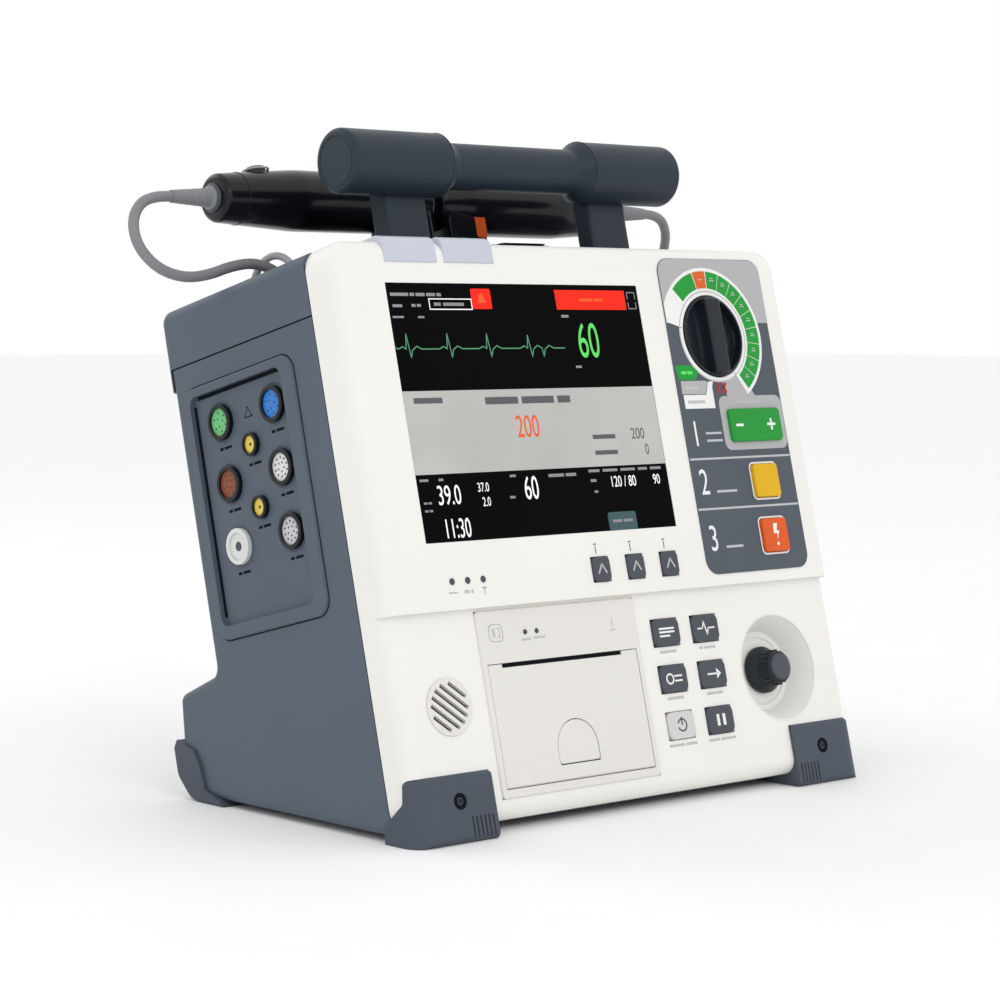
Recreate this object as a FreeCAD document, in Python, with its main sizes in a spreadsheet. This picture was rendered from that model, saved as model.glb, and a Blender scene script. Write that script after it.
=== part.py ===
import FreeCAD, Part
import math
import os
import re

# Defibrillator and patient monitor with two hand paddles on its lid.
# The casing leans back, so every piece is drawn upright, in the casing's own axes, and then leaned:
# X runs to the right, Y runs from the front panel into the casing, Z runs up the front panel.
# The zero point is the front plane of the upper panel, at the height of the screen's top edge.

Vector = FreeCAD.Vector

DIMENSIONS = {
    # casing
    "leanAngle": 14.0, "restDepth": -42.0, "restHeight": 263.92,
    "halfWidth": 156.6, "bezelTop": 22.0, "bezelDepth": 22.0, "bezelWall": 3.0, "stepHeight": -161.0,
    "lowerFront": 4.0, "bezelBottom": -263.0, "cornerRound": 13.0, "frontRound": 8.0,
    "lidSeam": -11.0, "lidTop": 20.0, "lidRear": 146.0, "lidLip": -22.0, "lidRound": 7.0,
    "bodyRear": 142.0, "bulgeTop": -168.0, "bulgeRear": 180.0, "casingWall": 3.0,
    "groundFront": -272.0, "groundSlope": 0.24933, "underGap": 3.1,
    # display and lamps
    "screenLeft": -126.8, "screenRight": 44.2, "screenBottom": -128.1, "glassThick": 2.0,
    "lampLow": 10.5, "lampHigh": 24.5, "lampDepth": 15.0,
    # control strip
    "overlayLeft": 61.7, "overlayRight": 140.5, "overlayTop": 15.0, "overlayBottom": -155.0,
    "overlayThick": 0.5, "overlayRound": 8.0,
    "dialAcross": 95.4, "dialHeight": -27.5, "dialRadius": 22.0, "dialGap": 0.4, "dialProud": 1.6,
    "dialDeep": 9.0, "dialRim": 1.4, "dialLip": 1.5,
    "gripHalfWide": 5.5, "gripProud": 5.2, "scoopAcross": 13.5, "scoopRadius": 8.0, "shaftRadius": 3.9,
    "rockerAcross": 115.8, "rockerHeight": -76.4, "rockerLong": 40.0, "rockerTall": 18.0,
    "chargeAcross": 116.8, "chargeHeight": -106.9, "shockAcross": 116.4, "shockHeight": -136.6,
    "buttonWide": 19.0, "buttonTall": 18.0, "buttonProud": 2.5,
    "softWide": 12.0, "softTall": 12.5, "softHeight": -147.2, "softFirst": -14.8, "softPitch": 24.5,
    "softProud": 1.2, "keyGap": 0.3, "flangeLip": 1.5, "flangeThick": 1.4,
    # lower panel
    "functionWide": 19.0, "functionTall": 14.0, "functionFirst": 27.0, "functionPitch": 29.0,
    "functionTop": -182.0, "functionDrop": 24.0, "functionProud": 1.4, "functionRound": 3.4,
    "dishAcross": 106.9, "dishHeight": -206.6, "dishRadius": 28.0, "dishFloor": 17.3,
    "dishFloorRadius": 21.0, "navRadius": 12.5, "navCap": 8.5, "navShaft": 2.9, "navBore": 2.95,
    "speakerAcross": -125.1, "speakerHeight": -206.2, "speakerRadius": 14.0,
    "slotPitch": 3.9, "slotWide": 2.0, "slotTilt": 38.0,
    # strip printer
    "printerLeft": -100.8, "printerRight": 7.3, "printerTop": -162.3, "printerBottom": -253.5,
    "printerFront": 3.0, "printerRear": 56.0, "doorLeft": -97.7, "doorRight": 3.8,
    "doorTop": -188.5, "doorBottom": -249.2, "doorGap": 0.35, "doorThick": 2.6, "hingeDepth": 4.5,
    "hingeHeight": -247.6, "latchAcross": -46.6, "latchWide": 27.0, "latchBottom": -240.8,
    "latchTop": -219.7, "rollRadius": 19.0, "rollDepth": 33.0, "rollHeight": -222.0, "rollWide": 80.0,
    "platenRadius": 4.0, "platenDepth": 12.0, "platenHeight": -196.0,
    # measuring module in the left wall
    "moduleFront": 42.0, "moduleRear": 133.0, "moduleTop": -24.0, "moduleBottom": -153.0,
    "plateFront": 51.6, "plateRear": 128.0, "plateTop": -28.7, "plateBottom": -146.0,
    "moduleProud": 1.4, "moduleRound": 9.0, "plateDeep": 1.6, "socketRadius": 9.2, "jackRadius": 6.0,
    # carry handle
    "gripDepth": 36.0, "gripHeight": 71.5, "gripRadius": 16.5, "gripWaist": 12.0, "gripHalf": 115.0,
    "gripStep": 50.0, "gripTaper": 43.0, "gripEnd": 3.0,
    "postInner": 57.6, "postOuter": 85.2, "postFront": 38.0, "postRear": 51.0,
    # paddles
    "paddleDepth": 104.0, "paddleHeight": 70.5, "paddleEnd": 142.0, "paddleStart": 2.5,
    "footprintInner": 4.0, "footprintOuter": 60.0, "footprintFront": 64.0, "footprintRear": 142.0,
    "trayFloor": 2.0, "plateThick": 2.0, "housingTop": 40.0, "neckInner": 6.0, "neckOuter": 32.0,
    "thumbAcross": 112.0, "bootEnd": 168.0, "leadDiameter": 5.5, "glandAcross": 100.0,
    # feet
    "footInner": 107.0, "footOuter": 158.6, "footFront": 2.1, "footTop": -238.0,
    "footRound": 12.0, "screwAcross": 129.0, "screwHeight": -251.0,
}

os.makedirs("parts", exist_ok=True)
DOC = FreeCAD.newDocument("Defibrillator")
SHEET = DOC.addObject("Spreadsheet::Sheet", "Dims")
for row, (alias, number) in enumerate(DIMENSIONS.items(), 1):
    SHEET.set(f"A{row}", alias)
    SHEET.set(f"B{row}", str(number))
    SHEET.setAlias(f"B{row}", alias)
DOC.recompute()

LEAN = FreeCAD.Placement(
    Vector(0, DIMENSIONS["restDepth"], DIMENSIONS["restHeight"]),
    FreeCAD.Rotation(Vector(1, 0, 0), -DIMENSIONS["leanAngle"]),
)
NODES = []


def dim(alias):
    return DIMENSIONS[alias]


def formula(text):
    """The text with each alias turned into a reference to the sheet."""
    return re.sub(r"[A-Za-z]\w*", lambda word: "Dims." + word.group(0), str(text))


def bind(item, prop, text):
    item.setExpression(prop, formula(text))


def box(name, x, y, z):
    """A box between two values on each axis; each value is a number or a formula of aliases."""
    item = DOC.addObject("Part::Box", name)
    for size, place, (low, high) in (("Length", "x", x), ("Width", "y", y), ("Height", "z", z)):
        bind(item, size, f"({high}) - ({low})")
        bind(item, "Placement.Base." + place, low)
    return item


TURNS = {
    "x": FreeCAD.Rotation(Vector(0, 1, 0), 90),
    "y": FreeCAD.Rotation(Vector(1, 0, 0), -90),
    "z": FreeCAD.Rotation(),
}


def rod(name, axis, centre, radius, span):
    """A cylinder along one axis; centre holds the other two places in X, Y, Z order."""
    item = DOC.addObject("Part::Cylinder", name)
    item.Placement.Rotation = TURNS[axis]
    low, high = span
    bind(item, "Radius", radius)
    bind(item, "Height", f"({high}) - ({low})")
    others = [letter for letter in "xyz" if letter != axis]
    bind(item, "Placement.Base." + axis, low)
    bind(item, "Placement.Base." + others[0], centre[0])
    bind(item, "Placement.Base." + others[1], centre[1])
    return item


def fuse(name, *items):
    joined = DOC.addObject("Part::MultiFuse", name)
    joined.Shapes = list(items)
    joined.Refine = True
    return joined


def cut(name, base, *tools):
    result = DOC.addObject("Part::Cut", name)
    result.Base = base
    result.Tool = tools[0] if len(tools) == 1 else fuse(name + "_tools", *tools)
    return result


def common(name, base, tool):
    result = DOC.addObject("Part::Common", name)
    result.Base = base
    result.Tool = tool
    return result


def fillet(name, base, radius, chosen):
    """Rounds the edges whose bounding box the test picks."""
    DOC.recompute()
    rounded = DOC.addObject("Part::Fillet", name)
    rounded.Base = base
    rounded.Edges = [
        (number, radius, radius)
        for number, edge in enumerate(base.Shape.Edges, 1)
        if chosen(edge.BoundBox)
    ]
    return rounded


def along(letter):
    """Picks the straight edges that run along one axis."""
    lengths = {"x": "XLength", "y": "YLength", "z": "ZLength"}
    others = [value for key, value in lengths.items() if key != letter]
    return lambda b: getattr(b, lengths[letter]) > 0.1 and all(getattr(b, o) < 0.01 for o in others)


def front_of(depth):
    """Picks the edges that lie in one plane parallel to the panel."""
    return lambda b: b.YLength < 0.01 and abs(b.YMin - depth) < 0.01


def cap(name, x, y, z, corner, edge):
    """A button-like block: rounded corners seen from the front, and a softened front edge."""
    block = box(name + "_block", x, y, z)
    rounded = fillet(name + "_corners", block, corner, along("y"))
    DOC.recompute()
    front = rounded.Shape.BoundBox.YMin
    return fillet(name + "_edge", rounded, edge, front_of(front))


def sketch_in(body, name, role):
    """A sketch on one of the body's own origin planes."""
    sketch = body.newObject("Sketcher::SketchObject", name)
    plane = [item for item in body.Origin.OriginFeatures if item.Role == role][0]
    sketch.AttachmentSupport = [(plane, "")]
    sketch.MapMode = "FlatFace"
    return sketch


def outline(sketch, points):
    """Closed polygon through points; a point with a third value is rounded by that radius."""
    corners = [Vector(p[0], p[1], 0) for p in points]
    pieces = []
    for index, corner in enumerate(corners):
        radius = points[index][2] if len(points[index]) > 2 else 0
        before = (corners[index - 1] - corner).normalize()
        after = (corners[(index + 1) % len(corners)] - corner).normalize()
        if radius:
            half = before.getAngle(after) / 2
            reach = radius / math.tan(half)
            middle = (before + after).normalize() * (radius / math.sin(half) - radius)
            pieces.append((corner + before * reach, corner + middle, corner + after * reach))
        else:
            pieces.append((corner, None, corner))
    for index, (start, middle, end) in enumerate(pieces):
        if middle:
            sketch.addGeometry(Part.Arc(start, middle, end), False)
        following = pieces[(index + 1) % len(pieces)][0]
        if (following - end).Length > 0.001:
            sketch.addGeometry(Part.LineSegment(end, following), False)


def prism(name, points, x):
    """A side-view outline (Y, Z) padded along X between two values."""
    body = DOC.addObject("PartDesign::Body", name)
    sketch = sketch_in(body, name + "_profile", "YZ_Plane")
    outline(sketch, points)
    pad = body.newObject("PartDesign::Pad", name + "_pad")
    pad.Profile = sketch
    bind(pad, "Length", f"({x[1]}) - ({x[0]})")
    bind(body, "Placement.Base.x", x[0])
    return body


def turned(name, role, axis, points, place):
    """A half outline turned about its own sketch axis, then set at its place."""
    body = DOC.addObject("PartDesign::Body", name)
    sketch = sketch_in(body, name + "_profile", role)
    outline(sketch, points)
    turn = body.newObject("PartDesign::Revolution", name + "_turn")
    turn.Profile = sketch
    turn.ReferenceAxis = (sketch, [axis])
    turn.Angle = 360
    for letter, text in zip("xyz", place):
        bind(body, "Placement.Base." + letter, text)
    return body


def node(label, *items):
    """Gathers the solids of one sub-part and leans them with the casing."""
    part = DOC.addObject("Part::Compound", label)
    part.Label = label
    part.Links = list(items)
    part.Placement = LEAN
    NODES.append(part)
    return part


def ground(depth, above=0.0):
    """Height of the surface the object stands on, below a given depth."""
    return dim("groundFront") + dim("groundSlope") * depth + above / math.cos(math.radians(dim("leanAngle")))


def mirrored_spans(inner, outer):
    """The same span of X on the left and on the right."""
    return (("left", (f"-({outer})", f"-({inner})")), ("right", (inner, outer)))


# ---------------------------------------------------------------- feet

FRONT_FOOT = [
    (dim("footFront"), dim("footTop")), (8.5, dim("footTop"), 1.5), (10.0, -249.0, 4.0), (25.0, -257.5, 2.0),
    (26.0, ground(26.0)), (dim("footFront"), ground(dim("footFront")), 3.0),
]
REAR_FOOT = [
    (182.0, -196.0), (185.0, -199.5, 1.5), (185.0, -214.0, 9.0), (176.0, ground(176.0), 14.0),
    (150.0, ground(150.0)), (152.5, ground(152.5, dim("underGap"))), (163.0, -224.0),
    (165.0, -210.0), (168.0, -203.0),
]


def front_foot(side, span):
    """A corner shoe: its outer upright edge is well rounded and its top edge is softened."""
    foot = prism(f"front_foot_{side}", FRONT_FOOT, span)
    block = box(f"foot_shape_{side}", span, ("footFront", 40), (-290, "footTop"))
    upright = fillet(f"foot_corner_{side}", block, dim("footRound"), lambda b: b.ZLength > 20
                     and abs(abs(b.XMin) - dim("footOuter")) < 0.01 and b.YMax < 10)
    softened = fillet(f"foot_top_{side}", upright, 2.5, lambda b: b.ZLength < 0.01
                      and b.ZMin > dim("footTop") - 0.1 and b.YMin < 39)
    return common(f"front_foot_{side}_round", foot, softened)


def make_feet():
    front = []
    rear = []
    screws = []
    for side, span in mirrored_spans("footInner", "footOuter"):
        sign = "-" if side == "left" else ""
        rounded = front_foot(side, span)
        well = rod(f"screw_well_{side}", "y", (f"{sign}screwAcross", "screwHeight"), 4.0,
                   ("footFront - 1", "footFront + 2"))
        hole = rod(f"screw_hole_{side}", "y", (f"{sign}screwAcross", "screwHeight"), 1.8,
                   ("footFront + 1", "footFront + 12"))
        grooves = []
        for index in range(6):
            start = f"{sign}(footInner + 3 + {index} * 2.6)"
            grooves.append(box(f"grip_groove_{side}_{index}", (f"({start}) - 0.5", f"({start}) + 0.5"),
                               ("footFront - 1", "footFront + 0.7"), (-270.0, -259.0)))
        front.append(cut(f"front_foot_{side}_cut", rounded, well, hole, *grooves))
        head = rod(f"screw_head_{side}", "y", (f"{sign}screwAcross", "screwHeight"), 3.4,
                   ("footFront + 0.4", "footFront + 2"))
        stem = rod(f"screw_stem_{side}", "y", (f"{sign}screwAcross", "screwHeight"), 1.8,
                   ("footFront + 2", "footFront + 12"))
        socket = rod(f"screw_socket_{side}", "y", (f"{sign}screwAcross", "screwHeight"), 1.3,
                     ("footFront - 1", "footFront + 1.6"))
        screws.append(cut(f"screw_{side}", fuse(f"screw_body_{side}", head, stem), socket))
        rear_foot = prism(f"rear_foot_{side}", REAR_FOOT, span)
        rear.append(fillet(f"rear_foot_{side}_round", rear_foot, 1.5, lambda b: b.XLength < 0.01
                           and abs(abs(b.XMin) - dim("footOuter")) < 0.01 and b.YMin > 170))
    node("front_feet", *front)
    node("rear_feet", *rear)
    node("foot_screws", *screws)


# ---------------------------------------------------------------- front bezel

LAMP_SPANS = (("left", (-125.0, -91.2)), ("right", (-86.9, -53.7)))


def lamp(name, span):
    """One alarm lamp, wrapped over the bezel's top edge."""
    body = box(f"lamp_{name}", span, (-0.6, "lampDepth"), ("lampLow", "lampHigh"))
    front_top = fillet(f"lamp_{name}_round", body, 6.0,
                       lambda b: b.XLength > 1 and b.YMax < 0 and b.ZMin > dim("lampHigh") - 0.1)
    return fillet(f"lamp_{name}_soft", front_top, 0.9,
                  lambda b: abs(b.XLength) < 0.01 and b.YLength > 1 and b.ZMin > dim("lampHigh") - 7)


def key_places():
    """Centres of the six function keys, row by row."""
    for line in range(3):
        for column in range(2):
            yield (line * 2 + column + 1, dim("functionFirst") + column * dim("functionPitch"),
                   dim("functionTop") - line * dim("functionDrop"))


def soft_places():
    for index in range(3):
        yield index + 1, dim("softFirst") + index * dim("softPitch")


def window(name, across, height, wide, tall, y):
    """A clearance hole for a key that is wide by tall."""
    gap = "keyGap"
    return box(name, (f"{across} - {wide} / 2 - {gap}", f"{across} + {wide} / 2 + {gap}"), y,
               (f"{height} - {tall} / 2 - {gap}", f"{height} + {tall} / 2 + {gap}"))


def control_windows(prefix, y):
    """The holes for the rocker and the two large buttons."""
    return [
        window(prefix + "_rocker", "rockerAcross", "rockerHeight", "rockerLong", "rockerTall", y),
        window(prefix + "_charge", "chargeAcross", "chargeHeight", "buttonWide", "buttonTall", y),
        window(prefix + "_shock", "shockAcross", "shockHeight", "buttonWide", "buttonTall", y),
    ]


def make_bezel():
    upper = box("upper_block", ("-halfWidth", "halfWidth"), (0, "bezelDepth"), ("stepHeight", "bezelTop"))
    upper_corners = fillet("upper_corners", upper, dim("cornerRound"),
                           lambda b: along("y")(b) and b.ZMin > dim("bezelTop") - 0.1)
    upper_round = fillet("upper_round", upper_corners, dim("frontRound"),
                         lambda b: front_of(0)(b) and b.ZMax > dim("stepHeight") + 0.1)
    lower = box("lower_block", ("-halfWidth", "halfWidth"), ("lowerFront", "bezelDepth"),
                ("bezelBottom", "stepHeight + 1"))
    lower_corners = fillet("lower_corners", lower, dim("cornerRound"),
                           lambda b: along("y")(b) and b.ZMax < dim("bezelBottom") + 0.1)
    lower_round = fillet("lower_round", lower_corners, dim("frontRound"),
                         lambda b: front_of(dim("lowerFront"))(b) and b.ZMin < dim("stepHeight") - 0.1)
    boss = rod("dish_boss", "y", ("dishAcross", "dishHeight"), "dishRadius + 3", ("lowerFront + 1", "dishFloor + 3"))
    inside_upper = box("inside_upper", ("-halfWidth + 6", "halfWidth - 6"), ("bezelWall", "bezelDepth + 1"),
                       ("stepHeight + 3", "bezelTop - 6"))
    inside_lower = box("inside_lower", ("-halfWidth + 6", "halfWidth - 6"),
                       ("lowerFront + bezelWall", "bezelDepth + 1"), ("bezelBottom + 4", "stepHeight + 3"))
    shell = cut("bezel_shell", fuse("bezel_blocks", upper_round, lower_round), inside_upper, inside_lower)
    bossed = fuse("bezel_bossed", shell, boss)

    through = (-2, "bezelDepth + 1")
    holes = [
        box("screen_hole", ("screenLeft", "screenRight"), through, ("screenBottom", 0)),
        box("printer_hole", ("printerLeft", "printerRight"), through, ("printerBottom", "printerTop")),
        rod("dial_hole", "y", ("dialAcross", "dialHeight"), "dialRadius + dialGap", through),
        rod("speaker_hole", "y", ("speakerAcross", "speakerHeight"), "speakerRadius", through),
        rod("nav_hole", "y", ("dishAcross", "dishHeight"), "navShaft + 0.4", through),
    ]
    holes += control_windows("bezel", through)
    for number, across in soft_places():
        holes.append(window(f"soft_hole_{number}", across, "softHeight", "softWide", "softTall", through))
    for number, across, height in key_places():
        holes.append(window(f"function_hole_{number}", across, height, "functionWide", "functionTall", through))
    dish = DOC.addObject("Part::Cone", "dish")
    bind(dish, "Radius1", "dishRadius")
    bind(dish, "Radius2", "dishFloorRadius")
    bind(dish, "Height", "dishFloor - lowerFront")
    dish.Placement.Rotation = TURNS["y"]
    bind(dish, "Placement.Base.x", "dishAcross")
    bind(dish, "Placement.Base.y", "lowerFront")
    bind(dish, "Placement.Base.z", "dishHeight")
    notches = [lamp(name + "_seat", span) for name, span in LAMP_SPANS]
    feet = [prism(f"foot_seat_{name}", FRONT_FOOT, span) for name, span in mirrored_spans("footInner", "footOuter")]
    node("front_bezel", cut("bezel", bossed, dish, *holes, *notches, *feet))
    node("alarm_lamps", *[lamp(name + "_lens", span) for name, span in LAMP_SPANS])


# ---------------------------------------------------------------- rear casing and lid

def make_casing():
    under = dim("underGap")
    rear = dim("bodyRear")
    bulge = dim("bulgeRear")
    wall = dim("casingWall")
    front = dim("bezelDepth")
    seam = dim("lidSeam")
    shoulder = dim("bulgeTop")
    outer = prism("casing_outer", [
        (front, seam), (rear, seam), (rear, shoulder, 6.0), (bulge - 4, shoulder - 6, 5.0),
        (bulge, shoulder - 34, 8.0), (bulge - 10, ground(bulge - 10, under), 6.0), (front, ground(front, under)),
    ], ("-halfWidth", "halfWidth"))
    softened = fillet("casing_soft", outer, 4.0, lambda b: b.XLength < 0.01 and b.YMax > front + 1
                      and b.ZMin < seam - 1)
    inner = prism("casing_inner", [
        (front - 1, seam + 1), (rear - wall, seam + 1), (rear - wall, shoulder - wall, 6.0),
        (bulge - 4 - wall, shoulder - 6 - wall, 6.0), (bulge - wall, shoulder - 34, 6.0),
        (bulge - 12, ground(bulge - 12, under) + wall), (front - 1, ground(front - 1, under) + wall),
    ], ("-halfWidth + casingWall", "halfWidth - casingWall"))
    feet = [prism(f"rear_seat_{name}", REAR_FOOT, span) for name, span in mirrored_spans("footInner", "footOuter")]
    feet += [prism(f"front_seat_{name}", FRONT_FOOT, span) for name, span in mirrored_spans("footInner", "footOuter")]
    module_block = box("module_hole_block", ("-halfWidth - 2", "-halfWidth + 6"), ("moduleFront", "moduleRear"),
                       ("moduleBottom", "moduleTop"))
    module_hole = fillet("module_hole", module_block, dim("moduleRound"), along("x"))
    battery_hole = box("battery_hole", ("halfWidth - 6", "halfWidth + 2"), (60, 130), (-215, -130))
    inlet_hole = box("inlet_hole", (62, 110), ("bodyRear - 8", "bodyRear + 2"), (-152, -122))
    port_hole = box("port_hole", (-110, 20), ("bodyRear - 8", "bodyRear + 2"), (-110, -60))
    vents = []
    for index in range(9):
        vents.append(box(f"vent_{index}", (f"40 + {index} * 9", f"44 + {index} * 9"),
                         ("bodyRear - 8", "bodyRear + 2"), (-100, -45)))
    node("rear_casing", cut("casing", softened, inner, *feet, module_hole, battery_hole, inlet_hole,
                            port_hole, *vents))

    lid = prism("lid_outer", [
        (front, seam), (rear, seam), (rear, dim("lidLip")), (dim("lidRear"), dim("lidLip")),
        (dim("lidRear"), dim("lidTop"), 7.0), (front, dim("lidTop")),
    ], ("-halfWidth", "halfWidth"))
    lid_soft = fillet("lid_soft", lid, 6.0, lambda b: b.XLength < 0.01 and b.ZMax > dim("lidTop") - 8
                      and b.YMax > front + 1)
    lid_inner = box("lid_inner", ("-halfWidth + casingWall + 4", "halfWidth - casingWall - 4"),
                    ("bezelDepth - 1", "bodyRear - 1"), ("lidSeam - 1", "lidTop - casingWall"))
    gland_holes = [rod(f"gland_hole_{name}", "z", (f"{sign}glandAcross", "paddleDepth"), 8.0, (10, 30))
                   for name, sign in (("left", "-"), ("right", ""))]
    node("top_cover", cut("lid", lid_soft, lid_inner, *gland_holes))


# ---------------------------------------------------------------- carry handle

def make_handle():
    half = dim("gripHalf")
    thick = dim("gripRadius")
    waist = dim("gripWaist")
    step = dim("gripStep")
    taper = dim("gripTaper")
    grip = turned("grip_bar", "XZ_Plane", "H_Axis", [
        (-half, 0), (-half, thick, dim("gripEnd")), (-step, thick, 4.0), (-taper, waist, 4.0),
        (taper, waist, 4.0), (step, thick, 4.0), (half, thick, dim("gripEnd")), (half, 0),
    ], (0, "gripDepth", "gripHeight"))
    node("handle_grip", grip)
    posts = []
    for side, span in mirrored_spans("postInner", "postOuter"):
        post = box(f"post_{side}", span, ("postFront", "postRear"), ("lidTop", "gripHeight - 7"))
        rounded = fillet(f"post_{side}_round", post, 2.5, along("z"))
        bar = rod(f"post_{side}_seat", "x", ("gripDepth", "gripHeight"), "gripRadius",
                  ("-gripHalf", "gripHalf"))
        posts.append(cut(f"post_{side}_cut", rounded, bar))
    node("handle_posts", *posts)


# ---------------------------------------------------------------- display and controls

def make_display():
    glass = box("glass", ("screenLeft", "screenRight"), (0.2, "glassThick"), ("screenBottom", 0))
    node("display_window", glass)
    panel = box("lcd_panel", ("screenLeft - 3", "screenRight + 3"), ("bezelWall", "bezelWall + 6"),
                ("screenBottom - 3", 3))
    backing = box("lcd_backing", ("screenLeft + 12", "screenRight - 12"), ("bezelWall + 6", "bezelWall + 9"),
                  ("screenBottom + 14", -14))
    ledge = box("lcd_ledge", ("screenLeft", "screenRight"), ("glassThick", "bezelWall"), ("screenBottom", 0))
    node("lcd_module", fuse("lcd", ledge, panel, backing))


def flanged_key(name, across, height, wide, tall, front, wall_back, corner):
    """A key cap that comes through its window, with a flange behind the wall that keeps it in."""
    x = (f"{across} - {wide} / 2", f"{across} + {wide} / 2")
    z = (f"{height} - {tall} / 2", f"{height} + {tall} / 2")
    top = cap(name + "_cap", x, (front, f"{wall_back} + keyGap"), z, corner, 0.6)
    flange = box(name + "_flange", (f"{x[0]} - flangeLip", f"{x[1]} + flangeLip"),
                 (f"{wall_back} + keyGap", f"{wall_back} + keyGap + flangeThick"),
                 (f"{z[0]} - flangeLip", f"{z[1]} + flangeLip"))
    return fuse(name + "_key", top, flange)


def make_controls():
    plate = box("overlay_plate", ("overlayLeft", "overlayRight"), ("-overlayThick", 0),
                ("overlayBottom", "overlayTop"))
    rounded = fillet("overlay_round", plate, dim("overlayRound"), along("y"))
    through = (-3, 1)
    dial_opening = rod("overlay_dial", "y", ("dialAcross", "dialHeight"), "dialRadius + dialGap", through)
    node("control_overlay", cut("overlay", rounded, dial_opening, *control_windows("overlay", through)))

    centre = ("dialAcross", "dialHeight")
    disc = rod("dial_disc", "y", centre, "dialRadius", ("-dialProud", "dialDeep"))
    disc_soft = fillet("dial_disc_soft", disc, 0.8, front_of(-dim("dialProud")))
    inside = rod("dial_inside", "y", centre, "dialRadius - dialRim", ("-dialProud - 1", "dialDeep"))
    scoops = []
    for name, sign in (("left", "-"), ("right", "+")):
        trough = rod(f"dial_trough_{name}", "z", (f"dialAcross {sign} scoopAcross", "-dialProud"), "scoopRadius",
                     ("dialHeight - 30", "dialHeight + 30"))
        scoops.append(common(f"dial_scoop_{name}", trough, inside))
    slab = box("dial_slab", ("dialAcross - gripHalfWide", "dialAcross + gripHalfWide"), ("-gripProud", 0),
               ("dialHeight - dialRadius", "dialHeight + dialRadius"))
    column = rod("dial_column", "y", centre, "dialRadius - dialRim", ("-gripProud - 1", 1))
    grip = fillet("dial_grip", common("dial_slab_round", slab, column), 1.6, front_of(-dim("gripProud")))
    lip = rod("dial_lip", "y", centre, "dialRadius + dialLip", ("bezelWall + keyGap", "bezelWall + keyGap + flangeThick"))
    shaft = rod("dial_shaft", "y", centre, "shaftRadius", ("dialDeep - 1", "dialDeep + 5"))
    dial = fuse("dial", cut("dial_disc_cut", disc_soft, *scoops), grip, lip, shaft)
    node("mode_dial", dial)

    wall = "bezelWall"
    proud = "-buttonProud"
    node("charge_button", flanged_key("charge", "chargeAcross", "chargeHeight", "buttonWide", "buttonTall",
                                      proud, wall, 2.0))
    node("shock_button", flanged_key("shock", "shockAcross", "shockHeight", "buttonWide", "buttonTall",
                                     proud, wall, 2.0))
    rocker = cap("rocker", ("rockerAcross - rockerLong / 2", "rockerAcross + rockerLong / 2"),
                 ("-buttonProud", "bezelWall - 0.3"),
                 ("rockerHeight - rockerTall / 2", "rockerHeight + rockerTall / 2"), 2.5, 0.8)
    keel = rod("rocker_keel", "z", ("rockerAcross", "bezelWall / 2"), 3.8, ("rockerHeight - 7", "rockerHeight + 7"))
    node("energy_rocker", fuse("rocker_body", rocker, keel))
    for number, across in soft_places():
        node(f"soft_key_{number}", flanged_key(f"soft_{number}", across, "softHeight", "softWide", "softTall",
                                               "-softProud", wall, 2.6))
    for number, across, height in key_places():
        node(f"function_key_{number}", flanged_key(f"function_{number}", across, height, "functionWide",
                                                   "functionTall", "lowerFront - functionProud",
                                                   "lowerFront + bezelWall", dim("functionRound")))

    shaft = rod("nav_rod", "y", ("dishAcross", "dishHeight"), "navShaft", (6, 27))
    collar = rod("nav_collar", "y", ("dishAcross", "dishHeight"), "navShaft + 2", ("dishFloor + 3.3", "dishFloor + 5"))
    node("nav_shaft", fuse("nav_shaft_body", shaft, collar))
    bore = dim("navBore")
    base = dim("navRadius")
    crown = dim("navCap")
    floor = dim("dishFloor") - 1.0
    knob = turned("nav_knob_body", "XY_Plane", "V_Axis", [
        (0, 2.0), (crown, 2.0, 1.8), (crown + 0.8, 10.0), (base, floor - 2.4, 1.0), (base, floor),
        (bore, floor), (bore, 5.6), (0, 5.6),
    ], ("dishAcross", 0, "dishHeight"))
    node("nav_knob", knob)

    disc = rod("grille_disc", "y", ("speakerAcross", "speakerHeight"), "speakerRadius", ("lowerFront - 0.6", "lowerFront + 2"))
    slots = []
    for index in range(6):
        rise = (index - 2.5) * dim("slotPitch")
        reach = math.sqrt((dim("speakerRadius") - 2.5) ** 2 - rise ** 2)
        slot = DOC.addObject("Part::Box", f"grille_slot_{index}")
        slot.Length = 2 * reach
        slot.Width = 6
        bind(slot, "Height", "slotWide")
        tilt = FreeCAD.Rotation(Vector(0, 1, 0), dim("slotTilt"))
        centre = Vector(dim("speakerAcross"), dim("lowerFront") - 2, dim("speakerHeight"))
        corner = tilt.multVec(Vector(-reach, 0, rise - dim("slotWide") / 2))
        slot.Placement = FreeCAD.Placement(centre + corner, tilt)
        slots.append(slot)
    node("speaker_grille", cut("grille", disc, *slots))
    magnet = rod("speaker_magnet", "y", ("speakerAcross", "speakerHeight"), 9.0, (15, 22))
    cone = rod("speaker_cone", "y", ("speakerAcross", "speakerHeight"), 18.0, ("lowerFront + bezelWall", 15))
    node("speaker_driver", fuse("speaker", cone, magnet))

    upper_board = box("upper_board", ("screenLeft + 20", "overlayRight - 1"), (13, 14.6), (-158, "screenBottom - 4"))
    side_board = box("side_board", ("screenRight + 14", "overlayRight - 1"), (13, 14.6), ("screenBottom - 4", -52))
    lower_board = box("lower_board", ("printerRight + 3", 72), (11, 12.6), (-245, -168))
    node("switch_boards", fuse("switch_upper", upper_board, side_board), lower_board)


# ---------------------------------------------------------------- strip printer

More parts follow.
